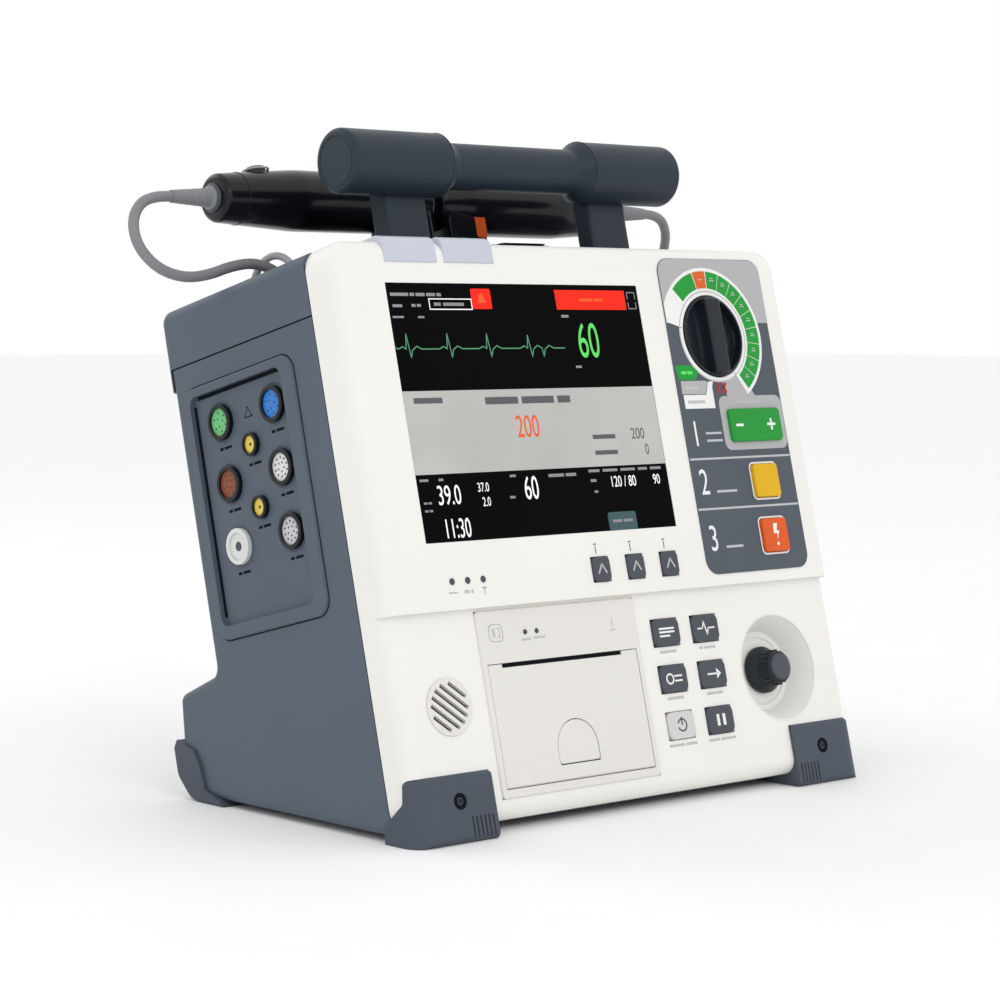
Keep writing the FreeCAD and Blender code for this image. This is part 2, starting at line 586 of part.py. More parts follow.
def latch_outline(grow):
    """Flat bottom and round top, drawn in the panel's plane about the latch's centre line."""
    half = dim("latchWide") / 2 + grow
    low = dim("latchBottom") - grow
    middle = dim("latchTop") - dim("latchWide") / 2
    arch = []
    for angle in range(0, 181, 12):
        turn = math.radians(angle)
        arch.append((half * math.cos(turn), middle + half * math.sin(turn)))
    return [(-half, low, 2.0), (half, low, 2.0)] + arch


def latch_block(name, grow, start, depth):
    body = DOC.addObject("PartDesign::Body", name)
    sketch = sketch_in(body, name + "_profile", "XZ_Plane")
    outline(sketch, latch_outline(grow))
    pad = body.newObject("PartDesign::Pad", name + "_pad")
    pad.Profile = sketch
    pad.Reversed = True
    pad.Length = depth
    bind(body, "Placement.Base.x", "latchAcross")
    body.Placement.Base.y = start
    return body


def make_printer():
    face = cap("printer_face", ("printerLeft", "printerRight"), ("printerFront", "printerFront + 4"),
               ("printerBottom", "printerTop"), 2.5, 0.8)
    tub = box("printer_tub", ("doorLeft - 1", "doorRight + 1"), ("printerFront + 4", "printerRear"),
              ("doorBottom - 2.5", "doorTop + 3"))
    inside = box("printer_inside", ("doorLeft + 1.2", "doorRight - 1.2"), (0, "printerRear - 2.5"),
                 ("doorBottom + 0.4", "doorTop - 0.4"))
    seat = box("door_seat", ("doorLeft", "doorRight"), (0, "hingeDepth + doorThick / 2 + doorGap"),
               ("doorBottom", "doorTop"))
    spindle = rod("roll_spindle", "x", ("rollDepth", "rollHeight"), 5.5, ("doorLeft", "doorRight"))
    hollow = cut("printer_hollow", fuse("printer_blocks", face, tub), inside, seat)
    node("printer_frame", fuse("printer", hollow, spindle))

    half = "doorThick / 2"
    leaf = box("door_leaf", ("doorLeft + doorGap", "doorRight - doorGap"),
               (f"hingeDepth - {half}", f"hingeDepth + {half}"),
               (f"hingeHeight - {half}", "doorTop - doorGap"))
    round_edge = dim("doorThick") / 2 - 0.02
    leaf_round = fillet("door_round", leaf, round_edge,
                        lambda b: along("x")(b) and b.ZMax < dim("hingeHeight"))
    slot = box("paper_slot", (-88.3, -7.0), (0, 10), ("doorTop - 2.2", "doorTop + 1"))
    opening = latch_block("latch_opening", 0.4, 0.0, 12.0)
    arms = []
    for name, span in (("left", ("doorLeft + 3.5", "doorLeft + 6")), ("right", ("doorRight - 6", "doorRight - 3.5"))):
        arm = box(f"platen_arm_{name}", span, ("hingeDepth", "platenDepth + 2"),
                  ("platenHeight - 3", "platenHeight + 3"))
        eye = rod(f"platen_eye_{name}", "x", ("platenDepth", "platenHeight"), 1.55, ("doorLeft", "doorRight"))
        arms.append(cut(f"platen_arm_{name}_cut", arm, eye))
    pivot_hole = rod("pivot_hole", "x", ("hingeDepth", "latchTop - 3"), 0.95,
                     ("latchAcross - 12.4", "latchAcross + 12.4"))
    leaf_cut = cut("door_cut", leaf_round, slot, opening, pivot_hole)
    node("printer_door", fuse("door", leaf_cut, *arms))
    latch = latch_block("latch_plate", 0.0, dim("hingeDepth") - 1.1, 1.7)
    pivot = rod("latch_pivot", "x", ("hingeDepth", "latchTop - 3"), 0.8, ("latchAcross - 12", "latchAcross + 12"))
    node("door_latch", fuse("latch", latch, pivot))

    roller = rod("platen_rubber", "x", ("platenDepth", "platenHeight"), "platenRadius", ("doorLeft + 7", "doorRight - 7"))
    axle = rod("platen_axle", "x", ("platenDepth", "platenHeight"), 1.5, ("doorLeft + 3.6", "doorRight - 3.6"))
    node("platen_roller", fuse("platen", roller, axle))
    middle = "(doorLeft + doorRight) / 2"
    wide = (f"{middle} - rollWide / 2", f"{middle} + rollWide / 2")
    roll = rod("roll_outer", "x", ("rollDepth", "rollHeight"), "rollRadius", wide)
    core = rod("roll_core", "x", ("rollDepth", "rollHeight"), 6.0, ("doorLeft", "doorRight"))
    node("paper_roll", cut("roll", roll, core))


# ---------------------------------------------------------------- measuring module

SOCKETS = [(63.5, -45.1), (63.5, -76.7), (63.5, -108.4), (107.1, -45.1), (107.1, -76.7), (107.1, -108.4)]
JACKS = [(85.2, -60.9), (85.2, -92.5)]


def make_module():
    outer_face = "-halfWidth - moduleProud"
    frame = box("module_block", (outer_face, "-halfWidth + 6"), ("moduleFront", "moduleRear"),
                ("moduleBottom", "moduleTop"))
    frame_round = fillet("module_corners", frame, dim("moduleRound"), along("x"))
    frame_soft = fillet("module_soft", frame_round, 1.2, lambda b: b.XLength < 0.01 and b.XMax < -dim("halfWidth"))
    recess = box("module_recess", (f"{outer_face} - 1", "-halfWidth + plateDeep"), ("plateFront", "plateRear"),
                 ("plateBottom", "plateTop"))
    recess_round = fillet("module_recess_round", recess, 5.0, along("x"))
    node("side_module_panel", cut("module", frame_soft, recess_round))
    shells = []
    inserts = []
    places = [(place, "socketRadius", 2.2) for place in SOCKETS] + [(place, "jackRadius", 1.6) for place in JACKS]
    for number, ((depth, height), radius, wall) in enumerate(places, 1):
        outer = rod(f"socket_{number}_outer", "x", (depth, height), radius,
                    ("-halfWidth - 1.0", "-halfWidth + plateDeep"))
        soft = fillet(f"socket_{number}_soft", outer, 0.6, lambda b: b.XMax < -dim("halfWidth"))
        inner = rod(f"socket_{number}_inner", "x", (depth, height), f"{radius} - {wall}",
                    ("-halfWidth - 2", "-halfWidth + plateDeep + 1"))
        shells.append(cut(f"socket_{number}_shell", soft, inner))
        inserts.append(rod(f"socket_{number}_insert", "x", (depth, height), f"{radius} - {wall}",
                           ("-halfWidth + 0.2", "-halfWidth + plateDeep")))
    node("socket_shells", *shells)
    node("socket_inserts", *inserts)


# ---------------------------------------------------------------- back and insides

def make_back():
    cover = cap_side("battery_cover_block", ("halfWidth - 2.5", "halfWidth + 1.2"), (60, 130), (-215, -130))
    grip = rod("battery_finger", "z", ("halfWidth + 6", 95), 8.0, (-150, -140))
    node("battery_cover", cut("battery_lid", cover, grip))
    node("battery_pack", box("battery", (84, 150), (66, 114), (-210, -135)))

    flange = box("inlet_flange", (58, 114), ("bodyRear", "bodyRear + 2"), (-156, -118))
    flange_round = fillet("inlet_round", flange, 4.0, along("y"))
    inlet_body = box("inlet_body", (62, 110), (118, "bodyRear"), (-152, -122))
    well = box("inlet_well", (73.6, 98.4), (126, "bodyRear + 3"), (-145.2, -128.8))
    well_round = fillet("inlet_well_round", well, 3.0, along("y"))
    pins = [box(f"inlet_pin_{index}", (86 + offset - 1, 86 + offset + 1), (124, 138), (height - 2, height + 2))
            for index, (offset, height) in enumerate(((-7.0, -138.5), (0.0, -134.5), (7.0, -138.5)))]
    inlet = cut("inlet_hollow", fuse("inlet_solid", flange_round, inlet_body), well_round)
    node("mains_inlet", fuse("inlet", inlet, *pins))

    plate = box("port_plate", (-110, 20), ("bodyRear - 2", "bodyRear + 1"), (-110, -60))
    ports = [box(f"port_{index}", (start, start + wide), ("bodyRear - 0.6", "bodyRear + 2"), (-92, -80))
             for index, (start, wide) in enumerate(((-100, 16), (-76, 14), (-54, 30), (-14, 12)))]
    plate_cut = cut("port_plate_cut", plate, *ports)
    stud = rod("ground_stud", "y", (8, -86), 3.0, ("bodyRear + 1", "bodyRear + 9"))
    node("rear_port_plate", plate_cut, stud)

    sheet = box("chassis_sheet", (-145, 78), (64, 66), (-150, 5))
    folded = box("chassis_fold", (-145, 78), (64, 100), (-152, -150))
    node("inner_chassis", fuse("chassis", sheet, folded))
    main_board = box("main_board", (-140, 60), (56, 57.6), (-146, 0))
    standoffs = [rod(f"standoff_{index}", "y", (x, z), 3.0, (57.6, 64))
                 for index, (x, z) in enumerate(((-134, -140), (-134, -6), (54, -140), (54, -6)))]
    chips = [box(f"chip_{index}", (x, x + 26), (52, 56), (z, z + 26))
             for index, (x, z) in enumerate(((-110, -60), (-60, -100), (0, -50)))]
    node("circuit_boards", fuse("boards", main_board, *standoffs, *chips))
    can = rod("capacitor_can", "x", (106, -60), 26.0, (80, 148))
    terminal = rod("capacitor_terminal", "x", (106, -60), 8.0, (74, 80))
    node("energy_capacitor", fuse("capacitor", can, terminal))


def cap_side(name, x, y, z):
    """A cover that faces right, with rounded corners and a softened outer edge."""
    block = box(name + "_box", x, y, z)
    rounded = fillet(name + "_corners", block, 5.0, along("x"))
    DOC.recompute()
    outer = rounded.Shape.BoundBox.XMax
    return fillet(name + "_soft", rounded, 0.8, lambda b: b.XLength < 0.01 and abs(b.XMin - outer) < 0.01)


# ---------------------------------------------------------------- paddles and their leads

def paddle_profile(sign):
    """Half outline of a paddle's handle, from its inner end to the blunt end that holds the lead."""
    inner = dim("paddleStart")
    outer = dim("paddleEnd")
    points = [(inner, 0), (inner, 13.6, 4.0), (24.0, 16.0, 30.0), (92.0, 16.0, 60.0),
              (outer, 12.4, 3.5), (outer, 0)]
    return [(sign * p[0], *p[1:]) for p in points]


LEFT_ROUTE = [
    (-168.0, 104.0, 70.5), (-182.0, 104.0, 70.5), (-194.0, 103.0, 60.0), (-195.0, 102.0, 44.5),
    (-185.0, 101.0, 32.0), (-169.5, 101.0, 27.5), (-153.5, 102.0, 29.5), (-138.0, 103.0, 34.5),
    (-122.0, 104.0, 37.0), (-107.5, 104.0, 32.5), (-99.0, 104.0, 20.0), (-97.5, 104.0, 6.0),
]
RIGHT_ROUTE = [
    (168.0, 104.0, 70.5), (181.0, 104.0, 70.5), (193.0, 111.0, 62.0), (197.0, 121.5, 50.0),
    (192.0, 128.5, 37.0), (180.0, 130.0, 28.0), (164.5, 127.0, 25.5), (149.0, 121.5, 28.5),
    (134.5, 115.0, 33.0), (121.0, 108.5, 35.0), (108.0, 104.5, 31.0), (99.5, 104.0, 20.0),
    (98.0, 104.0, 6.5),
]


def rounded_path(points):
    """Straight runs joined by tangent arcs, each as large as its two runs allow."""
    corners = [Vector(*p) for p in points]
    edges = []
    radii = []
    last = corners[0]
    for before, corner, after in zip(corners, corners[1:], corners[2:]):
        back = before - corner
        ahead = after - corner
        turn = math.pi - back.getAngle(ahead)
        reach = 0.45 * min(back.Length, ahead.Length)
        radius = reach / math.tan(turn / 2)
        radii.append(radius)
        start = corner + back.normalize() * reach
        end = corner + ahead.normalize() * reach
        inward = (back + ahead).normalize() * (radius / math.cos(turn / 2) - radius)
        edges.append(Part.LineSegment(last, start).toShape())
        edges.append(Part.Arc(start, corner + inward, end).toShape())
        last = end
    edges.append(Part.LineSegment(last, corners[-1]).toShape())
    return Part.Wire(edges), radii


def make_lead(side, route):
    radius = dim("leadDiameter") / 2
    path, radii = rounded_path(route)
    heading = Vector(*route[1]) - Vector(*route[0])
    section = Part.Wire(Part.makeCircle(radius, Vector(*route[0]), heading))
    tube = DOC.addObject("Part::Feature", f"paddle_lead_{side}")
    tube.Label = f"paddle_lead_{side}"
    tube.Shape = path.makePipeShell([section], True, False)
    tube.Placement = LEAN
    NODES.append(tube)
    expected = math.pi * radius ** 2 * path.Length
    print(f"lead {side}: length {path.Length:.1f}, radii", [round(r, 1) for r in radii],
          f"volume ratio {tube.Shape.Volume / expected:.4f}")


def make_paddle(side, route):
    sign = -1 if side == "left" else 1
    mark = "-" if side == "left" else ""

    def span(inner, outer):
        return (f"-({outer})", f"-({inner})") if sign < 0 else (inner, outer)

    handle = turned(f"paddle_{side}_bar", "XZ_Plane", "H_Axis", paddle_profile(sign),
                    (0, "paddleDepth", "paddleHeight"))
    well = rod(f"thumb_well_{side}", "z", (f"{mark}thumbAcross", "paddleDepth"), 5.6,
               ("paddleHeight + 9", "paddleHeight + 30"))
    neck = box(f"paddle_{side}_neck", span("neckInner", "neckOuter"),
               ("paddleDepth - 13", "paddleDepth + 13"), ("housingTop", "paddleHeight - 6"))
    neck_round = fillet(f"paddle_{side}_neck_round", neck, 4.0, along("z"))
    solid_handle = cut(f"paddle_{side}_handle", handle, well)
    node(f"paddle_handle_{side}", solid_handle)
    hollow_neck = cut(f"paddle_{side}_neck_cut", neck_round,
                      turned(f"paddle_{side}_bar_seat", "XZ_Plane", "H_Axis", paddle_profile(sign),
                             (0, "paddleDepth", "paddleHeight")))
    housing = box(f"paddle_{side}_housing", span("footprintInner", "footprintOuter"),
                  ("footprintFront", "footprintRear"), ("lidTop + trayFloor + plateThick", "housingTop"))
    housing_corners = fillet(f"paddle_{side}_housing_corners", housing, 9.0, along("z"))
    housing_round = fillet(f"paddle_{side}_housing_round", housing_corners, 6.0,
                           lambda b: b.ZLength < 0.01 and b.ZMin > dim("housingTop") - 0.1)
    node(f"paddle_base_{side}", fuse(f"paddle_{side}_base", housing_round, hollow_neck))
    plate = box(f"electrode_{side}", span("footprintInner + 3", "footprintOuter - 3"),
                ("footprintFront + 3", "footprintRear - 3"),
                ("lidTop + trayFloor", "lidTop + trayFloor + plateThick"))
    node(f"paddle_plate_{side}", fillet(f"electrode_{side}_round", plate, 7.0, along("z")))
    thumb = rod(f"thumb_{side}", "z", (f"{mark}thumbAcross", "paddleDepth"), 5.2,
                ("paddleHeight + 11.5", "paddleHeight + 17.2"))
    node(f"paddle_button_{side}", fillet(f"thumb_{side}_round", thumb, 1.0,
                                         lambda b: b.ZLength < 0.01 and b.ZMin > dim("paddleHeight") + 17))
    outer = dim("paddleEnd")
    tip = dim("bootEnd")
    lead = dim("leadDiameter") / 2
    boot = turned(f"boot_{side}", "XZ_Plane", "H_Axis", [
        (sign * outer, 0), (sign * outer, 6.2), (sign * (outer + 2.5), 6.2, 0.8), (sign * (outer + 3.5), 4.9),
        (sign * tip, lead + 0.5), (sign * tip, 0),
    ], (0, "paddleDepth", "paddleHeight"))
    node(f"lead_boot_{side}", boot)
    make_lead(side, route)


def make_tray():
    block = box("tray_block", (-66, 66), (58, 145), ("lidTop", "lidTop + 5"))
    block_round = fillet("tray_round", block, 8.0, along("z"))
    pocket = box("tray_pocket", (-63, 63), (61, 143.5), ("lidTop + trayFloor", "lidTop + 6"))
    node("paddle_tray", cut("tray", block_round, pocket))
    glands = []
    guides = []
    for side, mark in (("left", "-"), ("right", "")):
        ring = rod(f"gland_{side}", "z", (f"{mark}glandAcross", "paddleDepth"), 8.0,
                   ("lidTop - casingWall", "lidTop + 3"))
        ring_soft = fillet(f"gland_{side}_soft", ring, 1.0, lambda b: b.ZMin > dim("lidTop") + 2.9)
        bore = rod(f"gland_bore_{side}", "z", (f"{mark}glandAcross", "paddleDepth"), 5.4, (10, 30))
        glands.append(cut(f"gland_{side}_cut", ring_soft, bore))
        hoop = DOC.addObject("Part::Torus", f"hoop_{side}")
        hoop.Radius1 = 20.0
        hoop.Radius2 = 1.9
        hoop.Placement.Rotation = TURNS["x"]
        bind(hoop, "Placement.Base.x", f"{mark}(glandAcross + 11)")
        bind(hoop, "Placement.Base.y", "paddleDepth")
        bind(hoop, "Placement.Base.z", "lidTop")
        above = box(f"hoop_half_{side}", (f"{mark}(glandAcross + 11) - 5", f"{mark}(glandAcross + 11) + 5"),
                    (70, 140), ("lidTop", "lidTop + 30"))
        guides.append(common(f"guide_{side}", hoop, above))
    node("lead_glands", *glands)
    node("lead_guides", *guides)


make_bezel()
make_casing()
make_feet()
make_handle()
make_display()
make_controls()
make_printer()
make_module()
make_back()
make_tray()
make_paddle("left", LEFT_ROUTE)
make_paddle("right", RIGHT_ROUTE)

DOC.recompute()
problems = [item.Label for item in DOC.Objects if "Invalid" in item.State or "Error" in item.State]
problems += [item.Label for item in NODES if item.Shape.isNull() or not item.Shape.isValid()]
if problems:
    raise RuntimeError("failed: " + ", ".join(problems))
whole = FreeCAD.BoundBox()
for item in NODES:
    whole.add(item.Shape.BoundBox)
    item.Shape.exportStep(f"parts/{item.Label}.step")
print(len(NODES), "nodes", whole)
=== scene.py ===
import math

import bmesh
import bpy
from mathutils import Matrix, Vector


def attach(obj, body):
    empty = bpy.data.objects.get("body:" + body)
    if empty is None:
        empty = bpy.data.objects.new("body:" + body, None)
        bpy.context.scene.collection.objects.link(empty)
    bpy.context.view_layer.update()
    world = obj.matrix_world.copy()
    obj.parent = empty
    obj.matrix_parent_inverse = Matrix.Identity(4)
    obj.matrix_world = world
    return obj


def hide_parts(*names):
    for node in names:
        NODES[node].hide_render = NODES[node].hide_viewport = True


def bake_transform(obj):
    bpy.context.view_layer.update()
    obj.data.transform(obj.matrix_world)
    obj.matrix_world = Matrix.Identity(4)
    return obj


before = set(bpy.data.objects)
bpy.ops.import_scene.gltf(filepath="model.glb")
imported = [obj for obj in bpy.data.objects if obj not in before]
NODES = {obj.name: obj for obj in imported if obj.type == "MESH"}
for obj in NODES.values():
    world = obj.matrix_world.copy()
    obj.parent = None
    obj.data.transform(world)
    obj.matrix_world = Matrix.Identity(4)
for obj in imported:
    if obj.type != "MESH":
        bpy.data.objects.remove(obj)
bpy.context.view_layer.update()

# The casing leans back. Panel places are given upright, in millimetres, in the casing's own axes:
# X to the right, depth into the casing from the upper panel's plane, height from the screen's top edge.
MM = 0.001
LEAN = Matrix.Translation((0, -0.042, 0.26392)) @ Matrix.Rotation(math.radians(-14), 4, "X")

STEP = 0.06           # thickness of a printed film or label
UPPER = 0.0           # depth of the upper panel
OVERLAY = -0.5        # depth of the control strip's face
LOWER = 4.0           # depth of the lower panel
GLASS = 0.2           # depth of the screen's glass
SIDE = -156.6         # X of the left wall


# ---------------------------------------------------------------- materials

def base_material(name, rough, metal=0.0, coat=0.0, shine=0.22):
    """A plain material and its shader node."""
    material = bpy.data.materials.new(name)
    material.use_nodes = True
    shader = material.node_tree.nodes["Principled BSDF"]
    shader.inputs["Metallic"].default_value = metal
    shader.inputs["Coat Weight"].default_value = coat
    shader.inputs["Roughness"].default_value = rough
    shader.inputs["Specular IOR Level"].default_value = shine
    return material, shader


def link(material, source, output, target, entry):
    material.node_tree.links.new(source.outputs[output], target.inputs[entry])


def noise(material, scale, detail=3.0, stretch=None):
    """A noise fixed to the object; stretch gives its scale along X, Y and Z."""
    tree = material.node_tree
    place = tree.nodes.new("ShaderNodeTexCoord")
    texture = tree.nodes.new("ShaderNodeTexNoise")
    texture.inputs["Scale"].default_value = scale
    texture.inputs["Detail"].default_value = detail
    if stretch:
        mapping = tree.nodes.new("ShaderNodeMapping")
        mapping.inputs["Scale"].default_value = stretch
        link(material, place, "Object", mapping, "Vector")
        link(material, mapping, "Vector", texture, "Vector")
    else:
        link(material, place, "Object", texture, "Vector")
    return texture


def ramp(material, source, stops):
    """Colours along a noise: each stop is (place, colour)."""
    node = material.node_tree.nodes.new("ShaderNodeValToRGB")
    elements = node.color_ramp.elements
    while len(elements) < len(stops):
        elements.new(0.5)
    for element, (place, colour) in zip(elements, stops):
        element.position = place
        element.color = (*colour, 1.0)
    link(material, source, "Fac", node, "Fac")
    return node


def tone(colour, factor):
    """The same colour, lighter or darker."""
    return tuple(min(1.0, c * factor) for c in colour)


def moulded(name, colour, rough=0.42, grain=1400.0, bump=0.10, vary=0.05, edge=0.0004,
            coat=0.0, shine=0.22):
    """Moulded plastic or rubber: slow tone changes, fine surface grain and softened edges."""
    material, shader = base_material(name, rough, 0.0, coat, shine)
    tree = material.node_tree
    slow = noise(material, 14.0)
    colours = ramp(material, slow, [(0.3, tone(colour, 1 - vary)), (0.7, tone(colour, 1 + vary))])
    link(material, colours, "Color", shader, "Base Color")
    smears = noise(material, 55.0, 6.0)
    spread = tree.nodes.new("ShaderNodeMapRange")
    spread.inputs["To Min"].default_value = rough * 0.82
    spread.inputs["To Max"].default_value = min(1.0, rough * 1.22)
    link(material, smears, "Fac", spread, "Value")
    link(material, spread, "Result", shader, "Roughness")
    fine = noise(material, grain, 2.0)
    relief = tree.nodes.new("ShaderNodeBump")
    relief.inputs["Strength"].default_value = bump
    relief.inputs["Distance"].default_value = 0.00012
    rounding = tree.nodes.new("ShaderNodeBevel")
    rounding.samples = 4
    rounding.inputs["Radius"].default_value = edge
    link(material, fine, "Fac", relief, "Height")
    link(material, rounding, "Normal", relief, "Normal")
    link(material, relief, "Normal", shader, "Normal")
    return material


def brushed(name, colour, rough=0.32):
    """Metal with fine lengthwise streaks."""
    material, shader = base_material(name, rough, 1.0, 0.0, 0.5)
    streaks = noise(material, 60.0, 4.0, (1.0, 1.0, 40.0))
    colours = ramp(material, streaks, [(0.3, tone(colour, 0.85)), (0.7, tone(colour, 1.1))])
    link(material, colours, "Color", shader, "Base Color")
    relief = material.node_tree.nodes.new("ShaderNodeBump")
    relief.inputs["Strength"].default_value = 0.15
    relief.inputs["Distance"].default_value = 0.0001
    link(material, streaks, "Fac", relief, "Height")
    link(material, relief, "Normal", shader, "Normal")
    return material


def lit(name, colour, strength):
    """A lit part of the screen, with the slight unevenness of a backlight."""
    material, shader = base_material(name, 0.3, shine=0.05)
    glow = noise(material, 25.0)
    colours = ramp(material, glow, [(0.3, tone(colour, 0.94)), (0.7, tone(colour, 1.05))])
    link(material, colours, "Color", shader, "Base Color")
    link(material, colours, "Color", shader, "Emission Color")
    shader.inputs["Emission Strength"].default_value = strength
    return material


def printed(name, colour, rough=0.5):
    """Printed film or ink: faint mottling and a fine tooth."""
    return moulded(name, colour, rough, 2600.0, 0.05, 0.03, 0.0001)


WHITE = moulded("white_casing", (0.83, 0.82, 0.785), 0.40, bump=0.08, vary=0.015)
PANEL_WHITE = moulded("panel_white", (0.74, 0.725, 0.68), 0.42, bump=0.10, vary=0.02)
SLATE = moulded("slate_casing", (0.088, 0.110, 0.142), 0.46, 900.0, 0.22, 0.05)
HANDLE = moulded("dark_handle", (0.022, 0.033, 0.046), 0.40, 1100.0, 0.18, 0.06)
FOOT = moulded("foot_rubber", (0.070, 0.084, 0.108), 0.58, 800.0, 0.30, 0.06)
LAMP = moulded("lamp_lens", (0.52, 0.55, 0.63), 0.25, 500.0, 0.05, 0.05, coat=0.2)
OVERLAY_DARK = printed("overlay_film", (0.080, 0.096, 0.118))
OVERLAY_LIGHT = printed("overlay_light", (0.43, 0.43, 0.44))
PRINT_WHITE = printed("print_white", (0.83, 0.83, 0.82))
PRINT_GREY = printed("print_grey", (0.50, 0.505, 0.51))
PRINT_DARK = printed("print_dark", (0.10, 0.105, 0.115))
PRINT_GREEN = printed("print_green", (0.013, 0.310, 0.036))
PRINT_ORANGE = printed("print_orange", (0.70, 0.125, 0.020))
PRINT_RED = printed("print_red", (0.42, 0.035, 0.035))
BLACK = moulded("black_plastic", (0.005, 0.006, 0.009), 0.22, 1200.0, 0.08, 0.2, coat=0.15)
DIAL = moulded("dial_plastic", (0.011, 0.014, 0.020), 0.32, 1200.0, 0.10, 0.1, coat=0.1)
KEY = moulded("key_dark", (0.068, 0.076, 0.092), 0.42, 1500.0, 0.12)
KEY_PALE = moulded("key_pale", (0.60, 0.60, 0.60), 0.38, 1500.0, 0.08)
GREEN = moulded("green_plastic", (0.013, 0.290, 0.035), 0.40, 1500.0, 0.08)
YELLOW = moulded("yellow_plastic", (0.72, 0.42, 0.006), 0.38, 1500.0, 0.08)
ORANGE = moulded("orange_plastic", (0.70, 0.098, 0.012), 0.38, 1500.0, 0.08)
GREY = moulded("grey_plastic", (0.40, 0.405, 0.42), 0.42, 1300.0, 0.12)
NAV = moulded("nav_plastic", (0.016, 0.020, 0.026), 0.36, 1300.0, 0.12)
BLUE = moulded("socket_blue", (0.035, 0.20, 0.62), 0.40)
SOCKET_GREEN = moulded("socket_green", (0.16, 0.52, 0.20), 0.40)
BROWN = moulded("socket_brown", (0.24, 0.070, 0.028), 0.42)
SOCKET_WHITE = moulded("socket_white", (0.68, 0.70, 0.68), 0.40)
SOCKET_GREY = moulded("socket_grey", (0.55, 0.56, 0.58), 0.40)
GLASS_BLACK = moulded("screen_glass", (0.0015, 0.0015, 0.002), 0.16, 300.0, 0.0, 0.1, shine=0.03)
STEEL = brushed("steel", (0.60, 0.61, 0.63))
CHROME = brushed("chrome_plate", (0.80, 0.80, 0.82), 0.12)
BOARD = moulded("board_green", (0.010, 0.090, 0.035), 0.35, 600.0, 0.3, 0.2)
CAN = brushed("aluminium_can", (0.72, 0.73, 0.75))
PAPER = moulded("paper", (0.82, 0.82, 0.80), 0.85, 2000.0, 0.2, 0.02)
ROLLER = moulded("roller_rubber", (0.015, 0.015, 0.016), 0.75, 900.0, 0.3)
LEAD = moulded("lead_rubber", (0.225, 0.23, 0.24), 0.48, 1600.0, 0.15, 0.05)
GREY_BAND = lit("lit_grey_band", (0.47, 0.46, 0.44), 0.08)
LIT_RED = lit("lit_red", (0.80, 0.020, 0.010), 0.55)
LIT_GREEN = lit("lit_green", (0.10, 0.56, 0.11), 0.35)
LIT_TRACE = lit("lit_trace", (0.08, 0.24, 0.13), 0.45)
LIT_WHITE = lit("lit_white", (0.75, 0.75, 0.76), 0.5)
LIT_DIM = lit("lit_dim", (0.22, 0.22, 0.23), 0.3)
LIT_ORANGE = lit("lit_orange", (0.76, 0.120, 0.030), 0.10)
# Near-black for painted shade in the paper slot, under the latch, in the foot wells, the module recess and
# the seams, and for the socket captions' dark print.
SHADE_AND_DARK_PRINT = moulded("painted_shade_and_dark_print", (0.006, 0.008, 0.011), 0.7, vary=0.1, shine=0.05)
JACK = moulded("jack_yellow", (0.80, 0.60, 0.11), 0.38)
LIT_KEY = lit("lit_soft_key", (0.05, 0.09, 0.10), 0.3)

COATS = {
    WHITE: ["front_bezel"],
    PANEL_WHITE: ["printer_frame", "printer_door", "speaker_grille", "door_latch"],
    SLATE: ["rear_casing", "top_cover", "side_module_panel", "battery_cover"],
    HANDLE: ["handle_grip", "handle_posts"],
    FOOT: ["front_feet", "rear_feet"],
    LAMP: ["alarm_lamps"],
    OVERLAY_DARK: ["control_overlay"],
    DIAL: ["mode_dial"],
    BLACK: ["socket_shells", "paddle_tray", "mains_inlet", "speaker_driver", "paddle_handle_left",
            "paddle_handle_right", "paddle_base_left", "paddle_base_right"],
    GLASS_BLACK: ["display_window"],
    KEY: ["soft_key_1", "soft_key_2", "soft_key_3", "function_key_1", "function_key_2", "function_key_3",
          "function_key_4", "function_key_6", "battery_pack", "foot_screws",
          "paddle_button_left", "paddle_button_right"],
    KEY_PALE: ["function_key_5"],
    GREEN: ["energy_rocker"],
    YELLOW: ["charge_button"],
    ORANGE: ["shock_button"],
    GREY: ["lead_glands", "lead_guides"],
    NAV: ["nav_knob"],
    STEEL: ["lcd_module", "inner_chassis", "nav_shaft", "rear_port_plate"],
    CHROME: ["paddle_plate_left", "paddle_plate_right"],
    BOARD: ["circuit_boards", "switch_boards"],
    CAN: ["energy_capacitor"],
    PAPER: ["paper_roll"],
    ROLLER: ["platen_roller"],
    LEAD: ["lead_boot_left", "lead_boot_right", "paddle_lead_left", "paddle_lead_right"],
}


def coat_nodes():
    """Gives every CAD piece its material."""
    for material, names in COATS.items():
        for name in names:
            mesh = NODES[name].data
            mesh.materials.clear()
            mesh.materials.append(material)


def upright(world):
    """A world point in the casing's own axes, in millimetres."""
    return (LEAN.inverted() @ Vector(world)) / MM


ROW_SPLITS = (-60, -92)       # heights between the three rows of sockets
COLUMN_SPLITS = (75, 96)      # depths between the sockets and the jacks


def colour_inserts():
    """Each socket's insert has its own colour, found from where its faces lie on the left wall."""
    mesh = NODES["socket_inserts"].data
    mesh.materials.clear()
    choices = [BLUE, SOCKET_WHITE, SOCKET_GREY, SOCKET_GREEN, BROWN, SOCKET_WHITE, JACK]
    for material in choices:
        mesh.materials.append(material)
    for face in mesh.polygons:
        place = upright(face.center)
        row = 0 if place.z > ROW_SPLITS[0] else (1 if place.z > ROW_SPLITS[1] else 2)
        if place.y < COLUMN_SPLITS[0]:
            face.material_index = row
        elif place.y > COLUMN_SPLITS[1]:
            face.material_index = 3 + row
        else:
            face.material_index = 6
    shells = NODES["socket_shells"].data
    shells.materials.append(SOCKET_WHITE)
    for face in shells.polygons:
        place = upright(face.center)
        if place.y > COLUMN_SPLITS[1] and place.z < ROW_SPLITS[1]:
            face.material_index = 1


# ---------------------------------------------------------------- shape helpers

